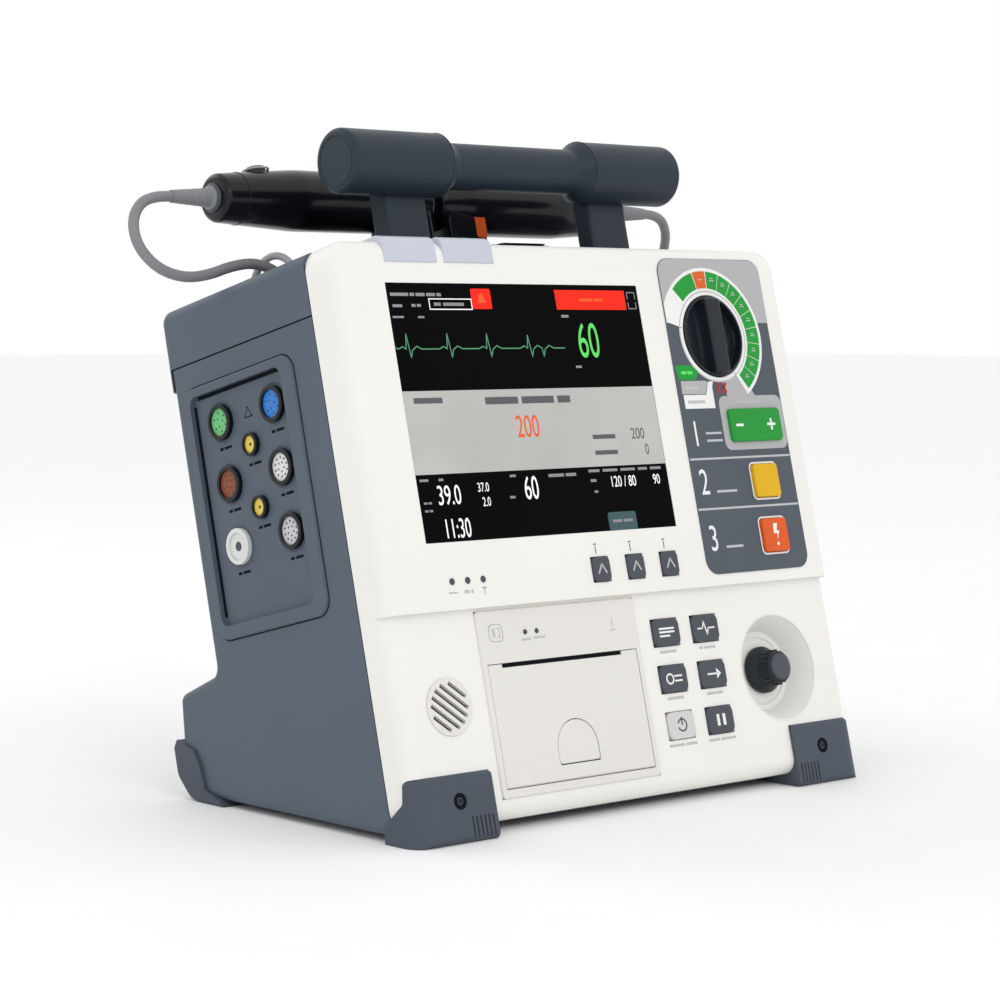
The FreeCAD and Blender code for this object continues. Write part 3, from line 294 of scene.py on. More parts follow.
def add_mesh(name, bm, material, body, soft=False):
    """Links a mesh drawn upright in millimetres, leans it with the casing and makes it ride."""
    bmesh.ops.recalc_face_normals(bm, faces=bm.faces)
    mesh = bpy.data.meshes.new(name)
    bm.to_mesh(mesh)
    bm.free()
    mesh.transform(LEAN @ Matrix.Scale(MM, 4))
    for face in mesh.polygons:
        face.use_smooth = soft
    mesh.materials.append(material)
    item = bpy.data.objects.new(name, mesh)
    bpy.context.scene.collection.objects.link(item)
    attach(item, body)
    return item


def on_front(a, b, d):
    """A plane facing the front: across, up, depth."""
    return (a, d, b)


def on_left(a, b, d):
    """A plane along a side wall: depth, up, X."""
    return (d, a, b)


def on_top(a, b, d):
    """A plane facing up: across, depth, height."""
    return (a, b, d)


def labels(name, outlines, near, material, body, space=on_front, thick=STEP):
    """Thin printed shapes: each outline is a list of corners in the plane; near is their inner depth."""
    bm = bmesh.new()
    for outline in outlines:
        low = [bm.verts.new(space(a, b, near)) for a, b in outline]
        high = [bm.verts.new(space(a, b, near - thick)) for a, b in outline]
        bm.faces.new(low)
        bm.faces.new(high)
        for index in range(len(outline)):
            after = (index + 1) % len(outline)
            bm.faces.new((low[index], low[after], high[after], high[index]))
    return add_mesh(name, bm, material, body)


def polar(cx, cz, radius, angle):
    """A point on a circle in the panel's plane; the angle is in radians, anticlockwise from the right."""
    return (cx + radius * math.cos(angle), cz + radius * math.sin(angle))


def rounded(x0, x1, z0, z1, radius, steps=5):
    """A rectangle with round corners."""
    corners = [(x1 - radius, z1 - radius, 0), (x0 + radius, z1 - radius, 90),
               (x0 + radius, z0 + radius, 180), (x1 - radius, z0 + radius, 270)]
    points = []
    for cx, cz, start in corners:
        for index in range(steps + 1):
            points.append(polar(cx, cz, radius, math.radians(start + 90 * index / steps)))
    return points


def bar(x0, x1, z0, z1):
    """A rectangle."""
    return [(x0, z0), (x1, z0), (x1, z1), (x0, z1)]


def disc(cx, cz, radius, steps=28):
    """A filled circle."""
    return [polar(cx, cz, radius, 2 * math.pi * i / steps) for i in range(steps)]


def band(cx, cz, inner, outer, start, end):
    """A curved strip between two angles, in degrees anticlockwise from the right."""
    steps = max(2, int(abs(end - start) / 4))
    angles = [math.radians(start + (end - start) * i / steps) for i in range(steps + 1)]
    points = [polar(cx, cz, outer, a) for a in angles]
    return points + [polar(cx, cz, inner, a) for a in reversed(angles)]


def stroke(points, width):
    """A line of short bars with overlapping ends."""
    pieces = []
    for (ax, az), (bx, bz) in zip(points, points[1:]):
        length = math.hypot(bx - ax, bz - az)
        ux, uz = (bx - ax) / length * width / 2, (bz - az) / length * width / 2
        pieces.append([(ax - ux - uz, az - uz + ux), (ax - ux + uz, az - uz - ux),
                       (bx + ux + uz, bz + uz - ux), (bx + ux - uz, bz + uz + ux)])
    return pieces


def text_bars(x0, x1, z0, z1, words):
    """Generic dashes where a caption would be; words are shares of the width."""
    space = 0.35
    total = sum(words) + space * (len(words) - 1)
    unit = (x1 - x0) / total
    pieces = []
    place = x0
    for word in words:
        pieces.append(bar(place, place + word * unit, z0, z1))
        place += (word + space) * unit
    return pieces


def dashes(rows):
    """Several captions at once: each row is (x0, x1, z0, z1, words)."""
    pieces = []
    for row in rows:
        pieces += text_bars(*row)
    return pieces


def numerals(name, digits, x, z, size, near, material, body, squeeze=1.0):
    """Digits standing on a panel; x and z give their lower left corner."""
    curve = bpy.data.curves.new(name, "FONT")
    curve.body = digits
    curve.size = size * MM
    curve.extrude = STEP / 2 * MM
    curve.materials.append(material)
    item = bpy.data.objects.new(name, curve)
    bpy.context.scene.collection.objects.link(item)
    place = Matrix.Translation(Vector((x, near - STEP / 2, z)) * MM)
    upright_place = LEAN @ place @ Matrix.Rotation(math.radians(90), 4, "X")
    item.matrix_world = upright_place @ Matrix.Diagonal((squeeze, 1, 1, 1))
    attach(item, body)
    return item


def off_axis(centre, axis, along, p, q):
    """A point at a distance along an axis through centre, and at p and q across it."""
    offset = {"x": (along, p, q), "y": (p, along, q), "z": (p, q, along)}[axis]
    return [c + o for c, o in zip(centre, offset)]


def ring(name, centre, axis, radius, tube, material, body, around=48, section=10):
    """A round ring with its axis along X, Y or Z of the casing."""
    bm = bmesh.new()
    loops = []
    for i in range(around):
        a = 2 * math.pi * i / around
        loop = []
        for j in range(section):
            b = 2 * math.pi * j / section
            out = radius + tube * math.cos(b)
            along = tube * math.sin(b)
            p, q = out * math.cos(a), out * math.sin(a)
            loop.append(bm.verts.new(off_axis(centre, axis, along, p, q)))
        loops.append(loop)
    for i in range(around):
        for j in range(section):
            after = (j + 1) % section
            following = loops[(i + 1) % around]
            bm.faces.new((loops[i][j], loops[i][after], following[after], following[j]))
    return add_mesh(name, bm, material, body, soft=True)


def turned(name, centre, axis, profile, material, body, around=40):
    """A turned piece: profile lists (distance along the axis, radius)."""
    bm = bmesh.new()
    loops = []
    for along, radius in profile:
        loop = []
        for i in range(around):
            a = 2 * math.pi * i / around
            p, q = radius * math.cos(a), radius * math.sin(a)
            loop.append(bm.verts.new(off_axis(centre, axis, along, p, q)))
        loops.append(loop)
    for first, second in zip(loops, loops[1:]):
        for i in range(around):
            after = (i + 1) % around
            bm.faces.new((first[i], first[after], second[after], second[i]))
    bm.faces.new(loops[0])
    bm.faces.new(loops[-1])
    return add_mesh(name, bm, material, body, soft=True)


# ---------------------------------------------------------------- screen

TRACE_BASE = -33.0


def beat(x, tall):
    """One heartbeat of the trace from x on."""
    base = TRACE_BASE
    return [(x, base), (x + 3, base + 1.2), (x + 5, base), (x + 6.2, base + tall), (x + 7.6, base - 4.2),
            (x + 9, base - 0.5), (x + 12, base + 1.4), (x + 15, base)]


def make_screen():
    """What the screen shows: bands, trace, numerals and dashes for its captions."""
    body = "housing"
    near = GLASS
    labels("screen_grey_band", [bar(-126.6, 44.0, -94.8, -53.8)], near, GREY_BAND, body)
    labels("screen_alarm_bar", [bar(-15.2, 34.6, -13.0, -2.8)], near, LIT_RED, body)
    labels("screen_alarm_icon", [rounded(-72.4, -59.4, -12.9, -2.6, 1.0)], near, LIT_RED, body)
    labels("screen_alarm_text", text_bars(1.5, 18, -8.6, -7.2, [3, 2]), near - STEP, LIT_ORANGE, body)
    bell = [(-69.0, -9.8), (-62.6, -9.8), (-64.0, -8.4), (-64.6, -5.2), (-67.0, -5.2), (-67.6, -8.4)]
    labels("screen_bell", [bell], near - STEP, LIT_ORANGE, body)
    frame_lines = [bar(-100.6, -72.6, -13.4, -12.9), bar(-100.6, -72.6, -8.2, -7.7),
                   bar(-100.6, -100.1, -13.4, -7.7), bar(-73.1, -72.6, -13.4, -7.7)]
    labels("screen_box", frame_lines, near, LIT_WHITE, body)
    corners = [bar(36.2, 42.2, -4.0, -3.5), bar(36.2, 36.7, -7.4, -3.5), bar(41.7, 42.2, -7.4, -3.5),
               bar(36.2, 42.2, -12.6, -12.1), bar(36.2, 36.7, -12.6, -9.0), bar(41.7, 42.2, -12.6, -9.0)]
    labels("screen_corner_icon", corners, near, LIT_DIM, body)
    small = dashes([(-124.5, -92, -6.6, -5.0, [4, 1, 2, 2, 1]), (-124.0, -118, -12.2, -10.8, [1]),
                    (-97.5, -78, -11.4, -9.8, [1, 3]), (-112, -106, -12.0, -10.6, [1, 1])])
    labels("screen_small_text", small, near, LIT_DIM, body)
    rows = dashes([(-125, -118, -17.6, -16.6, [1]), (-109, -105, -17.6, -16.6, [1]),
                   (-13, -8, -17.2, -15.8, [1]), (-8.5, -4.5, -43.5, -42.3, [1])])
    labels("screen_row_text", rows, near, LIT_DIM, body)
    trace = [(-126.0, -32.2)]
    for start, tall in ((-124.8, 7.5), (-98.5, 7.6), (-72.5, 7.4), (-45.0, 6.6), (-37.0, 7.2)):
        trace += [point for point in beat(start, tall) if point[0] > trace[-1][0] + 0.3]
    trace += [(-14.4, TRACE_BASE)]
    labels("screen_trace", stroke(trace, 0.55), near, LIT_TRACE, body)
    numerals("screen_rate", "60", -4.6, -38.0, 26.0, near, LIT_GREEN, body, 0.60)
    captions = dashes([(-120.3, -102, -60.0, -57.2, [5]), (-74.2, -16.5, -61.2, -57.6, [3, 3, 1.2]),
                       (-5.0, 11.0, -80.6, -78.4, [5]), (-5.0, 11.0, -88.8, -86.6, [5])])
    labels("screen_captions", captions, near - STEP, PRINT_DARK, body)
    numerals("screen_energy", "200", -56.5, -78.2, 16.0, near - STEP, LIT_ORANGE, body, 0.66)
    numerals("screen_energy_small", "200", 22.5, -81.2, 8.2, near - STEP, PRINT_DARK, body, 0.8)
    numerals("screen_shocks", "0", 31.0, -89.6, 8.2, near - STEP, PRINT_DARK, body, 0.7)
    numerals("screen_temperature", "39.0", -115.0, -109.8, 13.6, near, LIT_WHITE, body, 0.66)
    numerals("screen_value_a", "37.0", -88.5, -104.4, 6.4, near, LIT_WHITE, body, 0.7)
    numerals("screen_value_b", "2.0", -86.5, -111.6, 6.4, near, LIT_WHITE, body, 0.7)
    numerals("screen_pulse", "60", -57.8, -109.4, 16.5, near, LIT_WHITE, body, 0.60)
    numerals("screen_clock", "11:30", -114.0, -126.2, 13.6, near, LIT_WHITE, body, 0.58)
    numerals("screen_pressure", "120 / 80", 2.0, -105.6, 8.0, near, LIT_WHITE, body, 0.7)
    numerals("screen_mean", "90", 33.0, -105.2, 7.4, near, LIT_WHITE, body, 0.7)
    notes = dashes([
        (-124.5, -119, -98.2, -97.0, [1]), (-112.5, -109.5, -98.2, -97.0, [1]),
        (-40, -21, -99.0, -97.4, [3, 2]), (-12, 40, -97.6, -96.2, [1.2, 1.6, 1.6, 1, 1.2]),
        (-11.5, -7.5, -102.6, -101.2, [1]), (-66, -62, -98.0, -96.8, [1]),
        (-68, -64.5, -108.6, -107.4, [1]), (-10, -7.5, -108.2, -107.0, [1]),
        (-124, -119, -109.2, -108.2, [1, 1]), (-124, -119, -113.0, -112.0, [1, 1]),
    ])
    labels("screen_notes", notes, near, LIT_DIM, body)
    labels("screen_soft_key", [rounded(-3.6, 16.4, -128.0, -118.6, 1.4)], near, LIT_KEY, body)
    labels("screen_soft_text", text_bars(-0.6, 13.6, -123.9, -122.5, [2, 2]), near - STEP, LIT_DIM, body)


# ---------------------------------------------------------------- control strip

STRIP_LEFT, STRIP_RIGHT = 61.9, 140.3
DIAL_X, DIAL_Z = 95.4, -27.5
DIAL_HOLE = 22.6                          # radius of the print's edge round the dial
SCALE_INNER, SCALE_OUTER = 26.4, 35.8     # radii of the coloured scale
SCALE_MIDDLE = 31.2                       # radius of the marks on it
SCALE_START = 86                          # degrees to the first energy step
SCALE_PITCH = 15.6                        # degrees from one energy step to the next


def make_strip():
    """The control strip's print: the dial's scale, the flags, the step numbers and the outlines."""
    body = "housing"
    near = OVERLAY
    foot = -20.2
    top = rounded(STRIP_LEFT, STRIP_RIGHT, foot, 14.8, 7.8)
    reach = math.asin((foot - DIAL_Z) / DIAL_HOLE)
    turns = [math.pi - reach - (math.pi - 2 * reach) * i / 40 for i in range(41)]
    arch = [polar(DIAL_X, DIAL_Z, DIAL_HOLE, angle) for angle in turns]
    flat = [(x, z) for x, z in top if z > -2.5] + [(STRIP_LEFT, foot)] + arch + [(STRIP_RIGHT, foot)]
    labels("strip_light_band", [flat], near, OVERLAY_LIGHT, body)
    lines = [bar(62.2, 140.0, -94.2, -93.1), bar(62.2, 140.0, -121.0, -119.9)]
    labels("strip_separators", lines, near, PRINT_GREY, body)
    tail = [(97.0, -50.0), (112.0, -46.0), (121.0, -61.0), (99.0, -61.0)]
    labels("dial_tail", [tail], near, OVERLAY_LIGHT, body)
    halo = [(max(x, 62.3), z) for x, z in band(DIAL_X, DIAL_Z, DIAL_HOLE, 37.6, -58, 168)]
    labels("dial_halo", [halo], near - STEP, PRINT_WHITE, body)
    rim = band(DIAL_X, DIAL_Z, DIAL_HOLE, 25.2, -60, -191)
    labels("dial_ring", [rim], near - STEP, PRINT_WHITE, body)
    labels("rocker_surround", [rounded(91.2, 140.0, -89.6, -60.2, 4.5)], near - STEP, OVERLAY_LIGHT, body)
    segments = []
    for index in range(9):
        start = SCALE_START - index * SCALE_PITCH
        segments.append(band(DIAL_X, DIAL_Z, SCALE_INNER, SCALE_OUTER, start - 15.0, start))
    segments.append(band(DIAL_X, DIAL_Z, SCALE_INNER, SCALE_OUTER, 104, 134))
    labels("dial_green_arc", segments, near - 2 * STEP, PRINT_GREEN, body)
    orange = band(DIAL_X, DIAL_Z, SCALE_INNER, SCALE_OUTER, 87, 103)
    labels("dial_orange_mark", [orange], near - 2 * STEP, PRINT_ORANGE, body)
    inner_line = band(DIAL_X, DIAL_Z, 24.4, 25.1, 0, 359.9)
    labels("dial_inner_line", [inner_line], near - 2 * STEP, PRINT_GREY, body)
    for index in range(10):
        angle = 95 if index == 0 else SCALE_START - (index - 1) * SCALE_PITCH - 7.5
        x, z = polar(DIAL_X, DIAL_Z, SCALE_MIDDLE, math.radians(angle))
        tick = stroke([(x - 1.4, z), (x + 1.4, z)], 0.5)
        if index:
            tick += stroke([(x - 0.9, z + 1.2), (x + 0.9, z + 1.2)], 0.5)
        labels(f"dial_mark_{index}", tick, near - 3 * STEP, PRINT_GREY, body)
    ring("dial_bezel_ring", (DIAL_X, OVERLAY, DIAL_Z), "y", 22.9, 0.45, PRINT_WHITE, body, 72)
    off = stroke([(93.4, -53.0), (93.0, -58.0)], 1.6) + stroke([(96.2, -53.2), (98.6, -57.6)], 1.4)
    off += stroke([(98.8, -53.4), (96.0, -58.0)], 1.4)
    labels("dial_off_mark", off, near - STEP, PRINT_RED, body)
    green_flag = [(64.0, -51.2), (76.5, -51.2), (79.6, -47.2), (76.4, -43.2), (62.6, -43.2)]
    grey_flag = [(64.6, -58.8), (82.4, -58.8), (85.2, -52.4), (84.0, -51.6), (65.0, -51.6)]
    white_flag = [(65.4, -66.6), (88.2, -66.6), (88.2, -55.5), (89.5, -52.0), (85.6, -52.2),
                  (82.8, -59.2), (65.4, -59.2)]
    labels("dial_green_flag", [green_flag], near - STEP, PRINT_GREEN, body)
    labels("dial_grey_flag", [grey_flag], near - STEP, OVERLAY_LIGHT, body)
    labels("dial_white_flag", [white_flag], near - STEP, PRINT_WHITE, body)
    # The pale text on the green flag uses the screen's glowing green, so this print glows as painted light.
    flag_text = text_bars(66.5, 75.0, -48.0, -46.4, [1.6, 1.6])
    labels("flag_text_painted_glow", flag_text, near - 2 * STEP, LIT_GREEN, body)
    dark_text = dashes([(67.5, 77.5, -56.2, -54.6, [4]), (68.0, 81.0, -63.8, -62.2, [5]),
                        (106, 124, -64.2, -63.2, [3, 3])])
    labels("flag_text_dark", dark_text, near - 2 * STEP, PRINT_GREY, body)
    for digit, z in (("1", -86.6), ("2", -112.6), ("3", -142.6)):
        numerals(f"step_number_{digit}", digit, 66.5, z, 19.5, near, PRINT_WHITE, body, 0.72)
    captions = dashes([(77.5, 89.5, -80.6, -79.4, [4]), (77.5, 89.5, -84.6, -83.4, [4]),
                       (78.5, 94.0, -112.0, -110.7, [5]), (78.5, 91.5, -141.6, -140.3, [4])])
    labels("step_captions", captions, near, PRINT_GREY, body)
    edges = []
    wide, tall = 19.0, 18.0
    for x, z in ((116.8, -106.9), (116.4, -136.6)):
        outer, inner = [
            rounded(x - wide / 2 - gap, x + wide / 2 + gap, z - tall / 2 - gap, z + tall / 2 + gap, corner)
            for gap, corner in ((1.3, 3.2), (0.35, 2.2))]
        for i in range(len(outer)):
            j = (i + 1) % len(outer)
            edges.append([outer[i], outer[j], inner[j], inner[i]])
    labels("button_outlines", edges, near, PRINT_WHITE, body)


SOFT_KEY_X, SOFT_KEY_PITCH = -14.8, 24.5
LAMP_PROFILE = [(0.2, 1.7), (-0.2, 1.7), (-0.55, 1.2), (-0.75, 0.4)]


def make_button_icons():
    """Symbols on the rocker, the shock button and the soft keys, and the status lamps."""
    face = -2.5           # depth of the pushed faces
    labels("rocker_minus", [bar(99.8, 105.6, -77.2, -75.8)], face, PRINT_WHITE, "energy_rocker")
    plus = [bar(124.2, 130.6, -77.2, -75.8), bar(126.7, 128.1, -79.7, -77.25),
            bar(126.7, 128.1, -75.75, -73.3)]
    labels("rocker_plus", plus, face, PRINT_WHITE, "energy_rocker")
    bolt = [(115.0, -130.6), (118.2, -130.6), (117.0, -134.6), (119.0, -134.6), (116.8, -139.4),
            (117.2, -136.0), (114.6, -136.0)]
    labels("shock_bolt", [bolt, disc(116.8, -141.6, 0.9, 12)], face, PRINT_WHITE, "shock_button")
    for index in range(3):
        x = SOFT_KEY_X + SOFT_KEY_PITCH * index
        chevron = stroke([(x - 2.6, -149.0), (x, -144.6), (x + 2.6, -149.0)], 0.9)
        labels(f"soft_chevron_{index + 1}", chevron, -1.2, PRINT_GREY, f"soft_key_{index + 1}")
        tick = stroke([(x - 1.6, -138.8), (x - 1.6, -135.4)], 0.6)
        tick += [bar(x - 2.6, x - 0.6, -134.6, -134.0)]
        labels(f"soft_tick_{index + 1}", tick, UPPER, PRINT_DARK, "housing")
    marks = dashes([(-117.4, -111.8, -153.0, -152.2, [1]), (-107.4, -101.6, -153.4, -151.8, [1, 0.5])])
    marks += stroke([(-94.4, -151.0), (-94.4, -154.4)], 0.7)
    marks += stroke([(-95.6, -151.4), (-93.2, -151.4)], 0.7)
    labels("status_captions", marks, UPPER, PRINT_GREY, "housing")
    for index, x in enumerate((-114.4, -104.4, -94.4)):
        turned(f"status_lamp_{index + 1}", (x, 0, -147.2), "y", LAMP_PROFILE, KEY, "housing", 20)


# ---------------------------------------------------------------- lower panel

KEY_X, KEY_Z = 27.0, -182.0               # middle of the first function key
KEY_PITCH_X, KEY_PITCH_Z = 29.0, 24.0
KEY_WORDS = [[4], [1, 3], [3], [3], [4, 3], [3, 4]]
NAV_X, NAV_Z = 106.9, -206.6


def key_icon(number, x, z):
    """Symbols of the six function keys."""
    if number == 1:
        return [bar(x - 5.5, x + 5.5, z + 1.4, z + 2.4), bar(x - 5.5, x + 5.5, z - 0.4, z + 0.6),
                bar(x - 5.5, x + 2.0, z - 2.4, z - 1.4)]
    if number == 2:
        pulse = [(x - 6, z), (x - 2.6, z), (x - 1.4, z + 3.4), (x + 0.4, z - 3.2), (x + 1.6, z), (x + 6, z)]
        return stroke(pulse, 0.8)
    if number == 3:
        return [band(x - 3.2, z, 2.0, 2.9, 0, 359), bar(x, x + 5.6, z + 0.8, z + 1.7),
                bar(x, x + 5.6, z - 1.7, z - 0.8)]
    if number == 4:
        head = [(x + 2.2, z - 2.8), (x + 5.4, z), (x + 2.2, z + 2.8)]
        return [bar(x - 4.6, x + 4.6, z - 0.45, z + 0.45), head]
    if number == 5:
        return [band(x, z, 2.6, 3.5, 200, 520), bar(x - 0.45, x + 0.45, z, z + 4.2)]
    return [bar(x - 3.2, x - 1.2, z - 3.0, z + 3.0), bar(x + 1.2, x + 3.2, z - 3.0, z + 3.0)]


def make_lower_panel():
    """The function keys' symbols, the printer's marks, painted shade in the paper slot, under the latch and
    in the foot wells, the dish's rings and the knob's ribs.
    """
    for line in range(3):
        for column in range(2):
            number = line * 2 + column + 1
            x, z = KEY_X + KEY_PITCH_X * column, KEY_Z - KEY_PITCH_Z * line
            ink = PRINT_DARK if number == 5 else PRINT_WHITE
            half = 6.0 if number < 5 else 10.0
            captions = text_bars(x - half, x + half, z - 10.6, z - 9.2, KEY_WORDS[number - 1])
            labels(f"function_caption_{number}", captions, LOWER, PRINT_GREY, "housing")
            icon = key_icon(number, x, z)
            labels(f"function_icon_{number}", icon, LOWER - 1.4, ink, f"function_key_{number}")
    face = 3.0            # depth of the printer's front
    outline = rounded(-93.6, -84.8, -177.8, -169.4, 2.4, 3)
    icon = stroke(outline + [outline[0]], 0.45) + [bar(-91.4, -89.8, -175.6, -171.4)]
    icon += stroke([(-88.4, -175.6), (-86.8, -175.6), (-86.8, -171.4), (-88.4, -171.4)], 0.45)
    labels("printer_icon", icon, face, PRINT_GREY, "housing")
    marks = stroke([(-10.5, -172.0), (-10.5, -176.0)], 0.6) + stroke([(-12.2, -177.8), (-8.8, -177.8)], 0.6)
    marks += dashes([(-73.0, -67.0, -178.6, -177.6, [2]), (-65.0, -57.0, -178.2, -177.2, [3])])
    labels("printer_symbol", marks, face, PRINT_GREY, "housing")
    for index, x in enumerate((-70.0, -62.3)):
        profile = [(0.2, 1.3), (-0.2, 1.3), (-0.5, 0.8)]
        turned(f"printer_lamp_{index + 1}", (x, face, -174.4), "y", profile, KEY, "housing", 16)
    labels("paper_slot_shade", [bar(-88.0, -7.3, -190.5, -188.6)], 5.0, SHADE_AND_DARK_PRINT, "housing", thick=1.2)
    seam = bar(-60.0, -33.2, -241.3, -240.9)
    labels("latch_shadow", [seam], 3.2, SHADE_AND_DARK_PRINT, "printer_door", thick=0.04)
    for side in (-1, 1):
        mark = "left" if side < 0 else "right"
        # A dark ring of painted shade in each foot well.
        well = band(side * 129.0, -251.0, 2.0, 3.95, 0, 359.9)
        labels(f"foot_well_shade_{mark}", [well], 2.1, SHADE_AND_DARK_PRINT, "housing", thick=0.05)
    ring("dish_rim", (NAV_X, 4.2, NAV_Z), "y", 28.3, 0.6, WHITE, "housing", 72)
    ring("dish_floor_ring", (NAV_X, 17.2, NAV_Z), "y", 18.0, 0.5, WHITE, "housing", 60)
    ribs = []
    for index in range(18):
        x, z = polar(NAV_X, NAV_Z, 9.1, math.radians(20 * index))
        ribs.append(disc(x, z, 0.55, 8))
    labels("nav_grip_ribs", ribs, 12.0, NAV, "nav_knob", thick=7.5)
    cap = [(0.4, 7.2), (-0.2, 7.0), (-0.5, 6.2), (-0.55, 3.0)]
    turned("nav_cap", (NAV_X, 2.0, NAV_Z), "y", cap, KEY, "nav_knob")


# ---------------------------------------------------------------- left wall

SOCKET_PLACES = [(depth, height) for depth in (63.5, 107.1) for height in (-45.1, -76.7, -108.4)]
SOCKET_PINS = [6, 10, 10, 6, 8, 1]
JACK_PLACES = [(85.2, -60.9), (85.2, -92.5)]


def make_left_wall():
    """The sockets' pins, rings and captions, painted shade in the module panel's recess and groove, and
    painted shade in the seams of both side walls.
    """
    pins = []
    for (depth, height), count in zip(SOCKET_PLACES, SOCKET_PINS):
        if count == 1:
            pins.append(disc(depth, height, 2.4, 20))
            continue
        inner_count = count // 2
        for index in range(inner_count):
            x, z = polar(depth, height, 2.3, 2 * math.pi * index / inner_count + 0.9)
            pins.append(disc(x, z, 0.5, 10))
        for index in range(count):
            x, z = polar(depth, height, 4.7, 2 * math.pi * index / count + 0.4)
            pins.append(disc(x, z, 0.55, 10))
    for depth, height in JACK_PLACES:
        pins.append(disc(depth, height, 0.9, 14))
    labels("socket_pins", pins, SIDE + 0.2, KEY, "housing", on_left, 0.12)
    for number, (depth, height) in enumerate(SOCKET_PLACES, 1):
        lip = SOCKET_WHITE if number == len(SOCKET_PLACES) else BLACK
        ring(f"socket_lip_{number}", (SIDE + 0.1, depth, height), "x", 8.1, 0.55, lip, "housing", 40, 8)
        ring(f"socket_seat_{number}", (SIDE + 1.6, depth, height), "x", 10.2, 0.35, SLATE, "housing", 40, 8)
    captions = []
    for depth, height in SOCKET_PLACES:
        captions += text_bars(depth - 5, depth + 5, height - 14.0, height - 12.6, [2, 1])
    for depth, height in JACK_PLACES:
        captions += text_bars(depth - 5, depth + 5, height - 10.4, height - 9.0, [2, 1])
    captions += stroke([(85.0, -42.0), (88.0, -47.0), (82.0, -47.0), (85.0, -42.0)], 0.5)
    labels("socket_captions", captions, SIDE + 1.6, SHADE_AND_DARK_PRINT, "housing", on_left)
    # Painted shade: dark strips along the recess's top and rear edges, and a dark ring in the groove round
    # the module panel.
    shade = [bar(55.0, 123.5, -30.6, -28.9), bar(126.3, 127.9, -141.0, -33.5)]
    labels("recess_shadow", shade, SIDE + 1.6, SHADE_AND_DARK_PRINT, "housing", on_left, 0.5)
    outer = rounded(41.4, 133.6, -153.6, -23.4, 9.6, 8)
    inner = rounded(42.0, 133.0, -153.0, -24.0, 9.0, 8)
    groove = [[outer[i], outer[i - 1], inner[i - 1], inner[i]] for i in range(len(outer))]
    labels("module_groove_shade", groove, SIDE, SHADE_AND_DARK_PRINT, "housing", on_left, 0.05)
    # Painted shade in the seams round the lid and the bezel, on both side walls.
    lid_seam_shade = bar(22.2, 141.0, -11.5, -10.7)
    bezel_seam_shade = bar(21.8, 22.3, -252.0, 14.0)
    for side, face, thick in (("left", SIDE, 0.05), ("right", -SIDE, -0.05)):
        labels(f"lid_seam_shade_{side}", [lid_seam_shade], face, SHADE_AND_DARK_PRINT, "housing", on_left, thick)
        labels(f"bezel_seam_shade_{side}", [bezel_seam_shade], face, SHADE_AND_DARK_PRINT, "housing", on_left, thick)


# ---------------------------------------------------------------- carry handle and lid

GRIP_DEPTH, GRIP_HEIGHT = 36.0, 71.5          # axis of the carry handle
GRIP_RINGS = [("grip_end_ring", 115.0, 12.6, 0.35), ("grip_seam", 50.4, 16.45, 0.3)]
PADDLE_DEPTH, PADDLE_HEIGHT = 104.0, 70.5     # axis of the paddle handles


def make_handle():
    """Rings and seams on the carry handle and the paddles."""
    for side, mark in ((-1, "left"), (1, "right")):
        body = f"paddle_{mark}"
        for name, reach, radius, tube in GRIP_RINGS:
            place = (side * reach, GRIP_DEPTH, GRIP_HEIGHT)
            ring(f"{name}_{mark}", place, "x", radius, tube, HANDLE, "housing", 56, 8)
        ring(f"thumb_collar_{mark}", (side * 112.0, PADDLE_DEPTH, 86.0), "z", 6.6, 0.6, GREY, body, 40, 8)
        for index in range(4):
            place = (side * (149.0 + 4.4 * index), PADDLE_DEPTH, PADDLE_HEIGHT)
            ring(f"boot_rib_{mark}_{index + 1}", place, "x", 4.5 - 0.33 * index, 0.28, LEAD, body, 32, 8)
        collar = [(0, 7.6), (side * 1.0, 7.6), (side * 1.7, 7.0), (side * 1.9, 6.3)]
        turned(f"lead_collar_{mark}", (side * 141.8, PADDLE_DEPTH, PADDLE_HEIGHT), "x", collar, KEY, body)
        place = (side * 128.0, PADDLE_DEPTH, PADDLE_HEIGHT)
        ring(f"paddle_seam_{mark}", place, "x", 13.45, 0.25, BLACK, body, 56, 8)
        label = rounded(side * 33 - 17, side * 33 + 17, 66.0, 80.0, 3.0)
        labels(f"paddle_label_{mark}", [label], 40.1, KEY, body, on_top, -0.1)
    labels("paddle_mark", [rounded(23.0, 30.5, 50.0, 63.0, 1.2)], 91.0, ORANGE, "paddle_right")


# Each lead runs from its boot to its gland in the lid.
LEFT_ROUTE = [
    (-168.0, 104.0, 70.5), (-182.0, 104.0, 70.5), (-194.0, 103.0, 60.0), (-195.0, 102.0, 44.5),
    (-185.0, 101.0, 32.0), (-169.5, 101.0, 27.5), (-153.5, 102.0, 29.5), (-138.0, 103.0, 34.5),
    (-122.0, 104.0, 37.0), (-107.5, 104.0, 32.5), (-99.0, 104.0, 20.0), (-97.5, 104.0, 6.0),
]
RIGHT_ROUTE = [
    (168.0, 104.0, 70.5), (181.0, 104.0, 70.5), (193.0, 111.0, 62.0), (197.0, 121.5, 50.0),
    (192.0, 128.5, 37.0), (180.0, 130.0, 28.0), (164.5, 127.0, 25.5), (149.0, 121.5, 28.5),
    (134.5, 115.0, 33.0), (121.0, 108.5, 35.0), (108.0, 104.5, 31.0), (99.5, 104.0, 20.0),
    (98.0, 104.0, 6.5),
]
LEAD_WIDTH = 5.5


